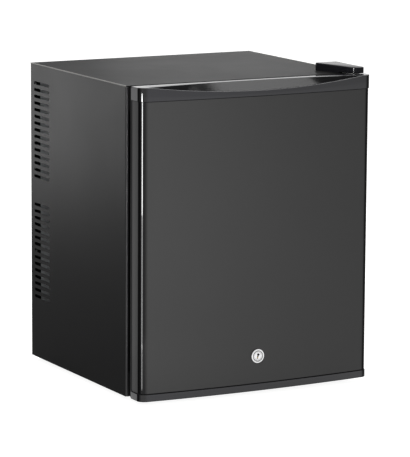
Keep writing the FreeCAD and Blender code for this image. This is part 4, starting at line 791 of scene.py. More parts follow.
@dataclass
class DoorShell:
    """Door skin, its two caps, the grip's lining, the seam strips and the rear rim; lining, strips and rim are
    near-black painted shade.
    """

    plan: DoorPlan
    top: CapEnds
    foot: CapEnds
    cap_proud: float = 1.2 * MM
    sheet: float = 0.8 * MM
    flange: float = 14 * MM
    flange_bend: float = 1.5 * MM
    cap_edge: float = 0.9 * MM
    cap_sharp_deg: float = 32.0
    rear_edge: float = 4 * MM
    edge_steps: int = 5
    end_steps: int = 6
    corner_steps: int = 14
    station_gap: float = 0.1 * MM
    edge_share: float = 0.4  # most of a flat that one edge may take
    fillet_share: float = 0.45
    grip_inset: float = 14 * MM
    grip_sag: float = 12.3 * MM
    grip_lip: float = 4.5 * MM
    grip_depth: float = 20 * MM
    grip_floor: float = 3 * MM
    grip_edge: float = 0.5 * MM
    grip_fillet: float = 2.2 * MM
    grip_run_out: float = 12 * MM
    grip_lean: float = 3 * MM
    lean_share: float = 0.2
    lean_deg: float = 15.0
    grip_steps: int = 60
    lining: float = 0.25 * MM
    lining_reach: float = 0.985
    lining_part: tuple[int, int] = (12, 26)  # points of a cap's section along the grip's walls and floor
    rim_depth: float = 6.5 * MM
    rim_inset: float = 0.4 * MM
    rim_under: float = 1.0 * MM
    rim_steps: int = 4
    seam_tall: float = 1.0 * MM
    low_seam_tall: float = 1.6 * MM
    seam_proud: float = 0.1 * MM
    lock_drill: float = 20 * MM
    drill_steps: int = 64

    def build(self) -> None:
        """Builds the pieces."""
        self._skin()
        self._seam()
        self._rim()
        self._shade_lining()
        places = self._stations()
        for node, cap in (("door_top_cap", self.top), ("door_bottom_cap", self.foot)):
            rings = [[Vector((x, y, z)) for y, z in self._cap_section(x, cap)] for x in places]
            add_shape(node + "_shell", loft(rings), GLOSS_BLACK, "door", node, sharp_deg=self.cap_sharp_deg)

    @property
    def rim_y(self) -> float:
        """Plane where the skin and the caps end and the rear rim begins."""
        return self.plan.back_y - self.rim_depth

    @property
    def grip_end(self) -> float:
        """Place across where the finger grip ends."""
        return self.plan.half_width - self.grip_inset

    def _seam(self) -> None:
        """Thin near-black strips that close the seams between the skin and the two caps: painted shadow lines."""
        line = self.plan.wrap(self.seam_proud, self.rim_y, self.flange, self.flange_bend)[1:-1]
        strips = []
        for low, high in ((self.foot.seam_z, self.foot.seam_z + self.low_seam_tall),
                          (self.top.seam_z - self.seam_tall, self.top.seam_z)):
            rings = []
            for x, y in line:
                inside = (x * (1 - self.sheet / self.plan.half_width), y + self.sheet / 2)
                rings.append([Vector((*place, z)) for place, z in (((x, y), low), ((x, y), high),
                                                                   (inside, high), (inside, low))])
            strips.append(to_mesh("cap_seam_shadow", *loft(rings)))
        # The seam strips are painted shadow lines.
        add_piece("door_cap_seam_shadows", merged("door_cap_seam_shadows", strips), SHADE_BLACK, "door")

    def _rim(self) -> None:
        """Near-black frame round the door's rear edge, from the skin and the caps in to the seal: painted shade for the
        gap behind the door.
        """
        seal_low, seal_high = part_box("door_gasket")
        side = self.plan.half_width - self.rim_inset
        low, high = self.foot.edge_z + self.rim_inset, self.top.edge_z - 2 * self.rim_inset
        bend, under = self.flange_bend, self.rim_under
        halfway = bend / 4  # inset at the middle of the rounded edge
        front, back = self.rim_y - self.sheet, self.plan.back_y
        inner = (seal_high.x - under, seal_low.z + under, seal_high.z - under)
        rings = []
        for half, foot, head, y in (
            (side, low, high, front),
            (side, low, high, back - bend),
            (side - halfway, low + halfway, high - halfway, back - halfway),
            (side - bend, low + bend, high - bend, back),
            (*inner, back),
            (*inner, front),
        ):
            rings.append([Vector((x, y, z)) for x, z in rounded_box((-half, foot), (half, head), bend, self.rim_steps)])
        # The rim's near-black is painted shade for the gap behind the door.
        add_shape("door_rear_rim_shade", loft(list(zip(*rings)), closed=True), SHADE_BLACK, "door")

    def _shade_lining(self) -> None:
        """Thin smooth lining in the finger grip, near-black: painted shade in the recess."""
        reach = self.lining_reach * self.grip_end
        rings = []
        for x in both_halves([reach * share for share in quarter_shares(self.grip_steps)]):
            wall = [Vector(point) for point in self._cap_section(x, self.top)[slice(*self.lining_part)]]
            moved = []
            for index, point in enumerate(wall):
                along = wall[min(index + 1, len(wall) - 1)] - wall[max(index - 1, 0)]
                moved.append(point + Vector((-along.y, along.x)).normalized() * self.lining)
            rings.append([Vector((x, y, z)) for y, z in [*wall, *reversed(moved)]])
        add_shape("door_grip_shade_lining", loft(rings), GRIP_SHADE_BLACK, "door", sharp_deg=self.cap_sharp_deg)

    def _skin(self) -> None:
        """Bowed sheet wrapped round the door's edges, with its lock hole."""
        outer = self.plan.wrap(0.0, self.rim_y, self.flange, self.flange_bend)
        inner = self.plan.wrap(-self.sheet, self.rim_y - self.sheet, self.flange, self.flange_bend - self.sheet)
        loop = outer + inner[::-1]
        points, faces = loft([[Vector((x, y, z)) for x, y in loop] for z in (self.foot.seam_z, self.top.seam_z)])
        faces = faces[:-2]  # the two ends are filled in quads below
        count = len(loop)
        for start in (0, count):
            for index in range(len(outer) - 1):
                other = count - 1 - index
                faces.append([start + index, start + index + 1, start + other - 1, start + other])
        low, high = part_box("lock_barrel")
        hole = circle(axis_of(low, high), BARREL_RADIUS, self.drill_steps)
        drill = loft([[Vector((x, y, z)) for x, z in hole] for y in (low.y, low.y + self.lock_drill)])
        skin = carve(to_mesh("door_front_skin", points, faces), [to_mesh("lock_drill", *drill)])
        add_piece("door_front_skin", skin, DOOR_PAINT, "door", "door_skin")

    def _stations(self) -> list[float]:
        """Places across a cap, close together where it curves.

        Returns:
            The places from left to right.
        """
        end = self.grip_end
        side = self.plan.half_width + self.cap_proud
        places = [end * share for share in quarter_shares(self.grip_steps)]
        first = max(self.plan.tangent_x(self.cap_proud), end) + self.station_gap
        radius = self.plan.corner + self.cap_proud
        corner = [self.plan.corner_centre[0] + radius * share for share in quarter_shares(self.corner_steps)]
        places += [place for place in corner if first < place < side - self.cap_edge]
        places += [side - self.cap_edge + self.cap_edge * share for share in quarter_shares(self.end_steps)]
        return both_halves(places)

    def _cap_section(self, x: float, cap: CapEnds) -> list[Point]:
        """One section of a cap in y and z.

        Args:
            x: Place across.
            cap: Which cap.

        Returns:
            Points of the section, always the same number.
        """
        plan = self.plan
        up = 1.0 if cap.edge_z > cap.seam_z else -1.0
        across = abs(x)
        past = max(across - (plan.half_width + self.cap_proud - self.cap_edge), 0.0)
        drop = self.cap_edge - math.sqrt(max(self.cap_edge ** 2 - past ** 2, 0.0))
        height = abs(cap.edge_z - cap.seam_z) - drop
        front = plan.front_y(x, self.cap_proud)
        back = self.rim_y + self.rim_inset
        end = self.grip_end
        share = min(across / end, 1.0)
        tip_y = plan.front_y(end, self.cap_proud - self.grip_lip)
        lip = floor = height
        if cap.grip and share < 1.0:
            lip_front = plan.front_y(across, self.cap_proud - self.grip_lip)
            deepest = plan.crown_y - self.cap_proud + self.grip_lip + self.grip_depth
            chord = tip_y - deepest
            arc_radius = (end ** 2 + chord ** 2) / (2 * abs(chord))
            lip_back = deepest + (math.sqrt(arc_radius ** 2 - across ** 2) - arc_radius)
            lip = height - self.grip_sag * (1.0 - share ** 2)
            fade = math.sqrt(min((end - across) / self.grip_run_out, 1.0))
            floor = height - (height - self.grip_floor) * fade
        else:
            lip_front = lip_back = min(max(tip_y, front + 2 * self.cap_edge), back - 2 * self.cap_edge)
        land, width = lip_front - front, lip_back - lip_front
        wall, rear_wall = lip - floor, height - floor
        edge = min(self.cap_edge, self.edge_share * land)
        inner = min(self.grip_edge, self.edge_share * min(land, width), self.fillet_share * wall)
        fillet = min(self.grip_fillet, self.fillet_share * min(width, wall))
        rear = min(self.grip_edge, self.edge_share * min(width, rear_wall))
        lean = min(self.grip_lean, self.lean_share * width) * min(rear_wall / (height - self.grip_floor + MM), 1.0)
        rear_edge = self.rear_edge if cap.grip else self.cap_edge
        section: list[Point] = [(front, 0.0)]
        for y, z, radius, start_deg, end_deg in (
            (front + edge, lip - edge, edge, 180, 90),
            (lip_front - inner, lip - inner, inner, 90, 0),
            (lip_front + fillet, floor + fillet, fillet, 180, 270),
            (lip_back - lean - fillet, floor + fillet, fillet, 270, 360 - self.lean_deg),
            (lip_back + lean + rear, height - rear, rear, 180 - self.lean_deg, 90),
            (back - rear_edge, height - rear_edge, rear_edge, 90, 0),
        ):
            section += arc((y, z), radius, start_deg, end_deg, self.edge_steps)
        section.append((back, 0.0))
        return [(y, cap.seam_z + up * z) for y, z in section]


SEAL_HALF_MM = ((0.0, 0.0), (0.0, 0.10), (2.4, 0.16), (3.0, 0.24), (1.2, 0.34), (0.6, 0.44), (2.6, 0.52), (1.0, 0.60),
                (0.2, 0.68), (0.0, 0.80), (0.3, 0.93), (1.6, 1.0), (7.0, 1.0))  # inward in mm, share of the depth


@dataclass
class DoorSeal:
    """Bellows gasket round the door liner."""

    width_mm: float = 14.0
    corner: float = 7 * MM
    sharp_deg: float = 50.0

    def build(self) -> None:
        """Sweeps the bellows profile round the seal's line."""
        low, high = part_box("door_gasket")
        depth = high.y - low.y
        far_half = [(round(self.width_mm - inward, 1), share) for inward, share in reversed(SEAL_HALF_MM[:-1])]
        middle_x, middle_z = axis_of(low, high)
        half_x, half_z = (high.x - low.x) / 2, (high.z - low.z) / 2
        rings = []
        for x, z in rounded_box((low.x, low.z), (high.x, high.z), self.corner):
            rings.append([Vector((middle_x + (x - middle_x) * ((half_x - inward * MM) / half_x), low.y + depth * share,
                                  middle_z + (z - middle_z) * ((half_z - inward * MM) / half_z)))
                          for inward, share in [*SEAL_HALF_MM, *far_half]])
        # The seal's colour is its own dark grey, darkened further as painted shade for the gap.
        add_shape("door_seal_bellows", loft(rings, closed=True), GREY_SEAL_AND_GAP_SHADE, "door", "door_gasket",
                  sharp_deg=self.sharp_deg)


# Cabinet trim, lock and hinge cover

@dataclass
class CabinetEdge:
    """Rolled front edges and folded top edges of the two side panels; the folds are pale, a painted highlight along the
    top edges.
    """

    width: float = 3.2 * MM
    proud: float = 3.2 * MM
    inset: float = 1.5 * MM
    fold: float = 0.8 * MM
    fold_sink: float = 0.4 * MM
    roll_steps: int = 14
    fold_steps: int = 16

    def build(self) -> None:
        """Builds the upright rolls and the long folds on both sides, the folds in the pale painted highlight."""
        rolls, folds = [], []
        for side, node in ((-1.0, "left_side_panel"), (1.0, "right_side_panel")):
            low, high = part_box(node)
            outer = max(abs(low.x), abs(high.x))
            radius = self.width / 2
            nose = arc((outer - radius, low.y - self.proud + radius), radius, 0, -180, self.roll_steps)
            loop = [(outer, low.y), *nose, (outer - self.width, low.y)]
            rings = [[Vector((side * x, y, z)) for x, y in loop] for z in (low.z + self.inset, high.z - self.inset)]
            rolls.append(to_mesh("rolled_edge", *loft(rings)))
            # Thin fold strip that carries the painted highlight along the top edge.
            bead = circle((outer - self.fold_sink, high.z - self.fold_sink), self.fold, self.fold_steps)
            rings = [[Vector((side * x, y, z)) for x, z in bead] for y in (low.y + self.fold, high.y - self.fold)]
            folds.append(to_mesh("highlight_folded_edge", *loft(rings)))
        add_piece("rolled_front_edges", merged("rolled_front_edges", rolls), EDGE_PAINT, "cabinet")
        # The folds' pale colour is a painted highlight along the top edges.
        add_piece("highlight_folded_top_edges", merged("highlight_folded_top_edges", folds), FOLD_HIGHLIGHT_PAINT, "cabinet")


@dataclass
class KeyLock:
    """Bezel, grooved ring, plug and keyway of the lock."""

    bezel: float = 11 * MM
    plug: float = 6 * MM
    gap: float = 0.05 * MM
    proud: float = 4 * MM
    round_edge: float = 0.9 * MM
    round_steps: int = 6
    bore_lip_mm: tuple[Point, ...] = ((0.0, 0.5), (0.3, 0.1), (0.6, 0.0))
    groove_in: float = 7.2 * MM
    groove_out: float = 8.8 * MM
    groove_deep: float = 1.3 * MM
    groove_lip: float = 0.2 * MM
    groove_taper: float = 0.1 * MM
    ring_gap: float = 0.15 * MM
    ring_tall: float = 0.6 * MM
    plug_edge: float = 0.4 * MM
    stem: float = 3 * MM
    stem_tall: float = 2 * MM
    plug_steps: int = 64
    keyway_wide: float = 2.2 * MM
    keyway_tall: float = 8.4 * MM
    keyway_deep: float = 14 * MM
    key_lean_deg: float = 15.0
    ward_part: float = 7.0
    ward_rise: float = 3.4
    wafers_mm: tuple[float, ...] = (2.4, 5.0, 7.6, 10.2)
    wafer_half: float = 0.4 * MM
    wafer_parts: Point = (0.10, 0.14)
    wafer_sink: float = 0.30

    def build(self) -> None:
        """Builds the barrel on the door and the plug on the lock body."""
        low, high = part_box("lock_barrel")
        axis = axis_of(low, high)
        front, seat = low.y, low.y + self.proud
        floor = front + self.groove_deep
        bore = self.plug + self.gap
        lip, taper = self.groove_lip, self.groove_taper
        profile: list[Point] = [
            *((bore + out * MM, front + deep * MM) for out, deep in self.bore_lip_mm),
            (self.groove_in - lip, front), (self.groove_in, front + lip), (self.groove_in + taper, floor),
            (self.groove_out - taper, floor), (self.groove_out, front + lip), (self.groove_out + lip, front),
            *arc((self.bezel - self.round_edge, front + self.round_edge), self.round_edge, -90, 0, self.round_steps),
            (self.bezel, seat), (BARREL_RADIUS, seat), (BARREL_RADIUS, high.y), (bore, high.y),
        ]
        add_shape("lock_barrel_turned", lathe(profile, axis), CHROME, "door", "lock_barrel")
        inside, outside = self.groove_in + self.ring_gap, self.groove_out - self.ring_gap
        top = floor - self.ring_tall
        ring = lathe([(inside, floor), (inside, top), (outside, top), (outside, floor)], axis)
        add_shape("lock_groove_ring", ring, GROOVE_METAL, "door")
        self._plug(axis)

    def _plug(self, axis: Point) -> None:
        """Plug with its tilted keyway and brass wafers inside it.

        Args:
            axis: Place of the lock's axis in x and z.
        """
        low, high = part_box("lock_plug")
        shoulder = high.y - self.stem_tall
        profile = [(0.0, low.y), (self.plug - self.plug_edge, low.y), (self.plug, low.y + self.plug_edge),
                   (self.plug, shoulder), (self.stem, shoulder), (self.stem, high.y), (0.0, high.y)]
        turn = Matrix.Rotation(math.radians(self.key_lean_deg), 3, "Y")
        middle = Vector((axis[0], low.y, axis[1]))
        half = Vector((self.keyway_wide / 2, self.keyway_deep, self.keyway_tall / 2))
        slot = box_mesh(middle - half, middle + half, turn)
        half = Vector((self.keyway_wide, self.keyway_deep, self.keyway_tall / self.ward_part))
        rise = middle + turn @ Vector((0.0, 0.0, self.keyway_tall / self.ward_rise))
        ward = box_mesh(rise - half, rise + half, turn)
        plug = carve(to_mesh("lock_plug_turned", *lathe(profile, axis, self.plug_steps)), [slot, ward])
        add_piece("lock_plug_turned", plug, CHROME, "lock", "lock_plug")
        wafers = []
        for index, deep in enumerate(self.wafers_mm):
            reach = Vector((self.keyway_wide / 2, self.wafer_half, self.keyway_tall * self.wafer_parts[index % 2]))
            sink = turn @ Vector((0.0, 0.0, -self.keyway_tall * self.wafer_sink))
            spot = Vector((axis[0], low.y + deep * MM, axis[1])) + sink
            wafers.append(box_mesh(spot - reach, spot + reach, turn))
        add_piece("lock_wafers", merged("lock_wafers", wafers), BRASS, "lock")


@dataclass
class HingeCover:
    """Tapered moulding over the top hinge."""

    wall: float = 1.5 * MM
    draft: float = 0.2 * MM
    edge: float = 1.6 * MM
    edge_steps: int = 6
    rear_radius: float = 4 * MM
    nose_radius: float = 9 * MM
    rear_width: float = 40 * MM
    front_width: float = 18.5 * MM
    nose_drop: float = 6 * MM
    lift: float = 2.6 * MM
    step: float = 0.2 * MM
    sharp_deg: float = 32.0

    def build(self, face_y: float) -> None:
        """Builds the cover as a thin shell with rounded edges.

        Args:
            face_y: Plane of the cabinet's front.
        """
        low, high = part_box("hinge_cover")
        corners = [
            (high.x - self.rear_width, high.y, self.rear_radius),
            (high.x - self.front_width, low.y, self.nose_radius),
            (high.x, low.y + self.nose_drop, self.rear_radius),
            (high.x, high.y, self.rear_radius),
        ]
        outline = self._stepped(rounded_loop(corners), face_y)
        centre = Vector([sum(values) / len(outline) for values in zip(*outline)])
        rings = []
        for inset, z in self._levels(low.z, high.z):
            ring = []
            for x, y in outline:
                moved = Vector((x, y)) - (Vector((x, y)) - centre).normalized() * inset
                foot = low.z + self.lift if y < face_y else low.z
                ring.append(Vector((moved.x, moved.y, max(z, foot))))
            rings.append(ring)
        add_shape("hinge_cover_moulding", loft(rings), SATIN_BLACK, "cabinet", "hinge_cover",
                  sharp_deg=self.sharp_deg)

    def _stepped(self, outline: list[Point], face_y: float) -> list[Point]:
        """Adds points on both sides of the cabinet's front, where the foot steps up.

        Args:
            outline: Closed plan line of the cover.
            face_y: Plane of the cabinet's front.

        Returns:
            The line with the added points.
        """
        points: list[Point] = []
        for start, end in zip(outline, outline[1:] + outline[:1]):
            points.append(start)
            if (start[1] < face_y) != (end[1] < face_y):
                side = -self.step if start[1] < face_y else self.step
                for y in (face_y + side, face_y - side):
                    share = (y - start[1]) / (end[1] - start[1])
                    points.append((start[0] + share * (end[0] - start[0]), y))
        return points

    def _levels(self, low: float, high: float) -> list[Point]:
        """Insets and heights from the inside of the roof, round the foot, to the top.

        Args:
            low: Height of the foot.
            high: Height of the top.

        Returns:
            Pairs of inset and height.
        """
        levels = [(self.wall + self.draft, high - self.wall), (self.wall, low), (0.0, low), (0.0, high - self.edge)]
        for index in range(1, self.edge_steps + 1):
            turn = math.pi / 2 * index / self.edge_steps
            levels.append((self.edge * (1 - math.cos(turn)), high - self.edge + self.edge * math.sin(turn)))
        return levels


# Repeated pieces, made with geometry nodes, and the knob

SCREW_BLADES = ((1.1, 0.50, 0.28), (0.28, 0.54, 1.1))  # blades of the cross, in shares of the head's size


class RepeatTrees:
    """Geometry trees for the pieces that repeat."""

    @staticmethod
    def _new(name: str, inputs: Sequence[str]) -> Group:
        """Makes an empty geometry tree that takes lengths."""
        sockets = {"Geometry": "Geometry", **{label: "Float" for label in inputs}, "Material": "Material"}
        return new_tree(name, GEOMETRY_TREE, sockets, {"Geometry": "Geometry"})

    @staticmethod
    def _finish(graph: NodeGraph, last: Node, material: NodeSocket, end: NodeSocket) -> NodeTree:
        """Ends a tree with realised, smooth and dressed geometry.

        Args:
            graph: The tree's graph.
            last: Node that gives the geometry.
            material: Socket that brings the material.
            end: Socket that takes the result.

        Returns:
            The tree.
        """
        smooth = graph.add("GeometryNodeSetShadeSmooth", graph.add("GeometryNodeRealizeInstances", last))
        graph.feed(graph.add("GeometryNodeSetMaterial", smooth, Material=material), end)
        return graph.tree

    @classmethod
    def screws(cls) -> NodeTree:
        """Domed cross-recess heads on the points of the base mesh, facing +y.

        Returns:
            The tree.
        """
        graph, given, made = cls._new("screw_heads", ("Radius", "Height"))
        scale = graph.add("ShaderNodeCombineXYZ", given["Radius"], given["Height"], given["Radius"])
        lift = graph.add("ShaderNodeCombineXYZ", Y=given["Height"])
        dome = graph.add("GeometryNodeMeshUVSphere", Segments=32, Rings=16)
        head = graph.add("GeometryNodeTransform", dome, Scale=scale)
        for size in SCREW_BLADES:
            blade = graph.add("GeometryNodeMeshCube", Size=size)
            placed = graph.add("GeometryNodeTransform", blade, Translation=lift, Scale=scale)
            head = graph.add("GeometryNodeMeshBoolean", head, placed, operation="DIFFERENCE")
        spread = graph.add("GeometryNodeInstanceOnPoints", given["Geometry"], Instance=head)
        return cls._finish(graph, spread, given["Material"], made["Geometry"])

    @classmethod
    def wires(cls) -> NodeTree:
        """Round wire along every edge of the base mesh.

        Returns:
            The tree.
        """
        graph, given, made = cls._new("wire_lines", ("Radius",))
        curve = graph.add("GeometryNodeMeshToCurve", given["Geometry"])
        ring = graph.add("GeometryNodeCurvePrimitiveCircle", Resolution=14, Radius=given["Radius"])
        tube = graph.add("GeometryNodeCurveToMesh", curve, Profile_Curve=ring, Fill_Caps=True)
        return cls._finish(graph, tube, given["Material"], made["Geometry"])


@dataclass
class WireShelf:
    """Welded wire shelf with a rounded rim."""

    rim: float = 2.5 * MM
    wire: float = 1.5 * MM
    corner: float = 9 * MM
    count: int = 15

    def build(self) -> None:
        """Builds the rim and the wires with the wire tree."""
        low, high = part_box("shelf")
        x, z = high.x - self.rim, (low.z + high.z) / 2
        front, back = low.y + self.rim, high.y - self.rim
        loop = rounded_box((-x, front), (x, back), self.corner)
        rim = bpy.data.meshes.new("shelf_rim_line")
        rim.from_pydata([(u, v, z) for u, v in loop], [(i, (i + 1) % len(loop)) for i in range(len(loop))], [])
        step = 2 * x / (self.count + 1)
        ends = [(-x + step * (index + 1), y, z) for index in range(self.count) for y in (front, back)]
        bars = bpy.data.meshes.new("shelf_bar_lines")
        bars.from_pydata(ends, [(index, index + 1) for index in range(0, len(ends), 2)], [])
        tree, material = RepeatTrees.wires(), WHITE_WIRE.material()
        built = [node_mesh(name, tree, {"Radius": radius, "Material": material}, base)
                 for name, radius, base in (("shelf_rim", self.rim, rim), ("shelf_bars", self.wire, bars))]
        add_piece("shelf_wires", merged("shelf_wires", built), WHITE_WIRE, "shelf", "shelf")


@dataclass
class ThermostatKnob:
    """Ribbed knob with a pointer on its face."""

    ribs: int = 20
    rib_deep: float = 0.8 * MM
    face_deep: float = 0.5 * MM
    edge: float = 1.2 * MM
    rim: tuple[Place, ...] = ((1.0, 0.95, 1.0), (0.3, 0.92, 0.6), (0.0, 0.86, 0.0))  # shares of edge, radius, ribs
    pointer_wide: float = 1.8 * MM
    pointer_span: Point = (0.25, 0.82)
    pointer_sink: float = 0.25
    steps: int = 160
    sharp_deg: float = 50.0

    def build(self) -> None:
        """Builds the knob and its pointer on the thermostat's body."""
        low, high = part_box("thermostat_knob")
        axis = axis_of(low, high)
        radius = (high.x - low.x) / 2
        face = low.y + self.face_deep
        rings = [self._ring(axis, high.y, radius, self.rib_deep)]
        for rise, reach, deep in self.rim:
            rings.append(self._ring(axis, face + self.edge * rise, radius * reach, self.rib_deep * deep))
        add_shape("thermostat_knob_ribbed", loft(rings), WHITE_PLASTIC, "thermostat", "thermostat_knob",
                  sharp_deg=self.sharp_deg)
        half = self.pointer_wide / 2
        start, end = (axis[1] + radius * share for share in self.pointer_span)
        sunk = face + self.edge * self.pointer_sink
        pointer = box_mesh(Vector((axis[0] - half, low.y, start)), Vector((axis[0] + half, sunk, end)))
        add_piece("thermostat_pointer", pointer, BLACK_PLASTIC, "thermostat")

    def _ring(self, axis: Point, y: float, radius: float, deep: float) -> list[Vector]:
        """Ring of the knob with its ribs.

        Args:
            axis: Place of the knob's axis in x and z.
            y: Level along the axis.
            radius: Radius over the ribs.
            deep: Depth between the ribs.

        Returns:
            The ring's corners.
        """
        ring = []
        for index in range(self.steps):
            turn = 2 * math.pi * index / self.steps
            reach = radius - deep * (0.5 - 0.5 * math.cos(self.ribs * turn))
            ring.append(Vector((axis[0] + reach * math.cos(turn), y, axis[1] + reach * math.sin(turn))))
        return ring


@dataclass
class CoverScrews:
    """Screw heads along the edges of the rear cover."""

    radius: float = 3.5 * MM
    height: float = 2.0 * MM

    def build(self) -> None:
        """Puts a head at the middle of each screw."""
        _, cover_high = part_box("rear_cover")
        centres = self._centres(frame["nodes"]["rear_cover_screws"])
        spots = sorted({(round(c.x, 4), round(c.z, 4)) for c in centres})
        base = bpy.data.meshes.new("screw_spots")
        base.from_pydata([(x, cover_high.y, z) for x, z in spots], [], [])
        mesh = node_mesh("rear_screw_heads", RepeatTrees.screws(),
                         {"Radius": self.radius, "Height": self.height, "Material": ZINC_STEEL.material()}, base)
        add_piece("rear_screw_heads", mesh, ZINC_STEEL, "cabinet", "rear_cover_screws")

    @staticmethod
    def _centres(node: Object) -> list[Vector]:
        """Middles of the loose solids of a node.

        Args:
            node: Node with several solids.

        Returns:
            The middles of their boxes.
        """
        work = bmesh.new()
        work.from_mesh(node.data)
        bmesh.ops.remove_doubles(work, verts=work.verts, dist=WELD)
        left = set(work.verts)
        centres = []
        while left:
            stack, group = [left.pop()], []
            while stack:
                here = stack.pop()
                group.append(here.co.copy())
                near = {edge.other_vert(here) for edge in here.link_edges} & left
                left -= near
                stack += near
            sides = [(min(c[axis] for c in group) + max(c[axis] for c in group)) / 2 for axis in range(3)]
            centres.append(Vector(sides))
        work.free()
        return centres


# Stage, light and camera

class LampRays(Enum):
    """Rays that a lamp reaches."""

    ALL = "all"
    GLOSS = "gloss"
    DIFFUSE = "diffuse"


@dataclass(frozen=True)
class StudioLamp:
    """One soft area lamp aimed at a point, for all pieces, for only some, or sparing some."""

    name: str
    place: Place
    aim: Place
    size: Point
    watts: float
    rays: LampRays = LampRays.ALL
    only: tuple[str, ...] = ()
    spare: tuple[str, ...] = ()
    spread_deg: float = 180.0

    def build(self) -> None:
        """Adds the lamp."""
        light = bpy.data.lights.new(self.name, "AREA")
        light.shape = "RECTANGLE"
        light.size, light.size_y = self.size
        light.energy = self.watts
        light.spread = math.radians(self.spread_deg)
        lamp = bpy.data.objects.new(self.name, light)
        lamp.location = self.place
        lamp.rotation_euler = (Vector(self.aim) - Vector(self.place)).to_track_quat("-Z", "Y").to_euler()
        bpy.context.scene.collection.objects.link(lamp)
        lamp.visible_camera = False
        lamp.visible_diffuse = self.rays is not LampRays.GLOSS
        lamp.visible_glossy = self.rays is not LampRays.DIFFUSE
        if self.only or self.spare:
            chosen = bpy.data.collections.new("pieces_of_" + self.name)
            for piece in self.only + self.spare:
                chosen.objects.link(frame["nodes"].get(piece) or bpy.data.objects[piece])
            for link in chosen.collection_objects:
                link.light_linking.link_state = "INCLUDE" if self.only else "EXCLUDE"
            lamp.light_linking.receiver_collection = chosen


GLOSS, DIFFUSE = LampRays.GLOSS, LampRays.DIFFUSE
LAMPS = (
    StudioLamp("corner_high", (-0.517, -0.325, 0.35), (-0.2, -0.18, 0.41), (0.08, 0.22), 0.061, GLOSS, spread_deg=20.0),
    StudioLamp("corner_low", (-0.517, -0.325, 0.13), (-0.2, -0.18, 0.19), (0.08, 0.22), 0.020, GLOSS, spread_deg=20.0),
    StudioLamp("corner_foot", (-0.292, -0.232, 0.04), (-0.2, -0.19, 0.0575), (0.022, 0.07), 0.0016, GLOSS,
               spread_deg=20.0),
    StudioLamp("cover_glint", (-1.0, -0.46, 0.60), (0.18, -0.17, 0.49), (0.3, 0.7), 150.0, GLOSS,
               only=("hinge_cover_moulding",)),
    StudioLamp("front_soft", (-0.36, -0.64, 0.28), (-0.20, -0.2, 0.27), (0.3, 0.9), 4.6, DIFFUSE,
               spare=("left_side_panel",)),
    StudioLamp("side_sheen", (-0.62, 1.1, 0.41), (-0.2, 0.1, 0.34), (0.34, 0.58), 18.0, GLOSS,
               only=("left_side_panel",)),
    StudioLamp("top_sheen", (0.95, 1.7, 0.80), (0.1, 0.0, 0.48), (0.5, 0.4), 1.4, GLOSS, only=("top_panel",)),
    StudioLamp("vent_fill", (-0.95, -1.26, 0.52), (-0.17, 0.17, 0.26), (0.3, 0.3), 11.0,
               only=("rear_bulkhead", "rear_cover")),
    StudioLamp("top_soft", (0.7, 0.4, 1.9), (0.05, 0.0, 0.45), (0.9, 0.9), 16.0),
    StudioLamp("right_soft", (1.9, 0.7, 1.6), (0.1, 0.1, 0.25), (1.0, 1.0), 20.0),
    StudioLamp("rear_soft", (-0.3, 2.2, 1.9), (0.0, 0.2, 0.25), (1.0, 1.0), 14.0),
    StudioLamp("high_front", (1.13, -1.93, 1.68), (0.0, -0.18, 0.48), (0.32, 0.5), 9.0, GLOSS,
               only=("door_grip_shade_lining",)),
)


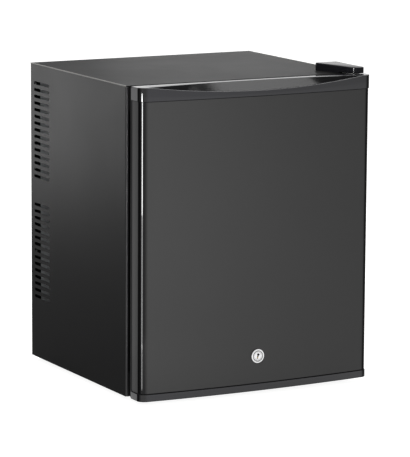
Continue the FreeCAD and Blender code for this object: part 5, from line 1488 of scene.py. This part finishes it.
@dataclass
class Studio:
    """Pale floor, white surroundings, soft lamps and the camera."""

    ambient: float = 0.42
    floor_glow: float = 0.92
    glow_span: Point = (0.35, 1.3)
    floor_half: float = 6.0
    azimuth_deg: float = -28.325
    elevation_deg: float = 9.8366
    roll_deg: float = 0.3346
    lens_mm: float = 228.126
    sensor_mm: float = 36.0
    far: float = 50.0
    eye: Place = (-2.1433, -3.99794, 1.01834)

    def build(self) -> None:
        """Builds the stage."""
        self._floor()
        self._world()
        for lamp in LAMPS:
            lamp.build()
        self._camera()

    def _seen(self, graph: NodeGraph) -> Node:
        """One where a ray shows the background: camera, glossy or transmission rays.

        Args:
            graph: Graph to add it to.

        Returns:
            The node that gives it.
        """
        path = graph.add("ShaderNodeLightPath").outputs
        near = graph.math("MAXIMUM", path["Is Camera Ray"], path["Is Glossy Ray"])
        return graph.math("MAXIMUM", near, path["Is Transmission Ray"])

    def _floor(self) -> None:
        """Plain pale floor that keeps the shadow."""
        half = self.floor_half
        mesh = bpy.data.meshes.new("studio_floor")
        mesh.from_pydata([(-half, -half, 0), (half, -half, 0), (half, half, 0), (-half, half, 0)], [], [[0, 1, 2, 3]])
        material = bpy.data.materials.new("studio_floor")
        material.use_nodes = True
        material.node_tree.nodes.clear()
        graph = NodeGraph(material.node_tree)
        place = graph.add("ShaderNodeTexCoord").outputs["Object"]
        away = graph.add("ShaderNodeVectorMath", place, operation="LENGTH").outputs["Value"]
        level = graph.math("MULTIPLY", self._seen(graph), graph.ramp(away, self.glow_span, self.floor_glow))
        pale = graph.add("ShaderNodeBsdfDiffuse", Color=FLOOR_COLOUR)
        glow = graph.add("ShaderNodeEmission", Color=WHITE, Strength=level)
        graph.add("ShaderNodeOutputMaterial", graph.add("ShaderNodeAddShader", pale, glow))
        mesh.materials.append(material)
        floor = bpy.data.objects.new("studio_floor", mesh)
        bpy.context.scene.collection.objects.link(floor)

    def _world(self) -> None:
        """White where it is seen, a plain soft level where it lights."""
        world = bpy.data.worlds.new("studio_world")
        bpy.context.scene.world = world
        world.use_nodes = True
        world.node_tree.nodes.clear()
        graph = NodeGraph(world.node_tree)
        level = graph.ramp(self._seen(graph), (0.0, 1.0), self.ambient)
        graph.add("ShaderNodeOutputWorld", graph.add("ShaderNodeBackground", Color=WHITE, Strength=level))

    def _camera(self) -> None:
        """Camera at the photograph's place, angle and lens."""
        data = bpy.data.cameras.new("camera")
        data.sensor_width = self.sensor_mm
        data.sensor_fit = "AUTO"
        data.lens = self.lens_mm
        data.clip_end = self.far
        camera = bpy.data.objects.new("camera", data)
        azimuth, elevation, roll = (
            math.radians(angle) for angle in (self.azimuth_deg, self.elevation_deg, self.roll_deg))
        back = Vector((math.sin(azimuth) * math.cos(elevation), -math.cos(azimuth) * math.cos(elevation),
                       math.sin(elevation)))
        right = (-back).cross(Vector((0.0, 0.0, 1.0))).normalized()
        above = right.cross(-back)
        turned = right * math.cos(roll) + above * math.sin(roll)
        upright = above * math.cos(roll) - right * math.sin(roll)
        camera.matrix_world = Matrix(list(zip(turned, upright, back, self.eye)) + [(0.0, 0.0, 0.0, 1.0)])
        bpy.context.scene.collection.objects.link(camera)
        bpy.context.scene.camera = camera


def dress_nodes() -> None:
    """Gives every carried-over node the finish of its slot."""
    slots = {item["node"]: item["material_slot"] for item in frame["record"]["subparts"]}
    for name, node in frame["nodes"].items():
        node.data.materials.clear()
        node.data.materials.append(SLOT_FINISHES[slots[name]].material())


def main() -> None:
    """Builds the sub-assemblies in order."""
    logging.basicConfig(level=logging.INFO, format="%(message)s")
    bpy.context.scene.view_settings.view_transform = "Standard"
    dress_nodes()
    skin_low, skin_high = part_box("door_skin")
    cap_low, cap_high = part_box("door_top_cap")
    foot_low, foot_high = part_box("door_bottom_cap")
    panel_low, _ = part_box("left_side_panel")
    plan = DoorPlan(half_width=skin_high.x, crown_y=skin_low.y, back_y=skin_high.y)
    top, foot = CapEnds(cap_low.z, cap_high.z, True), CapEnds(foot_high.z, foot_low.z, False)
    DoorShell(plan, top, foot).build()
    DoorSeal().build()
    CabinetEdge().build()
    KeyLock().build()
    HingeCover().build(panel_low.y)
    WireShelf().build()
    ThermostatKnob().build()
    CoverScrews().build()
    Studio().build()


if __name__ == "__main__":
    main()
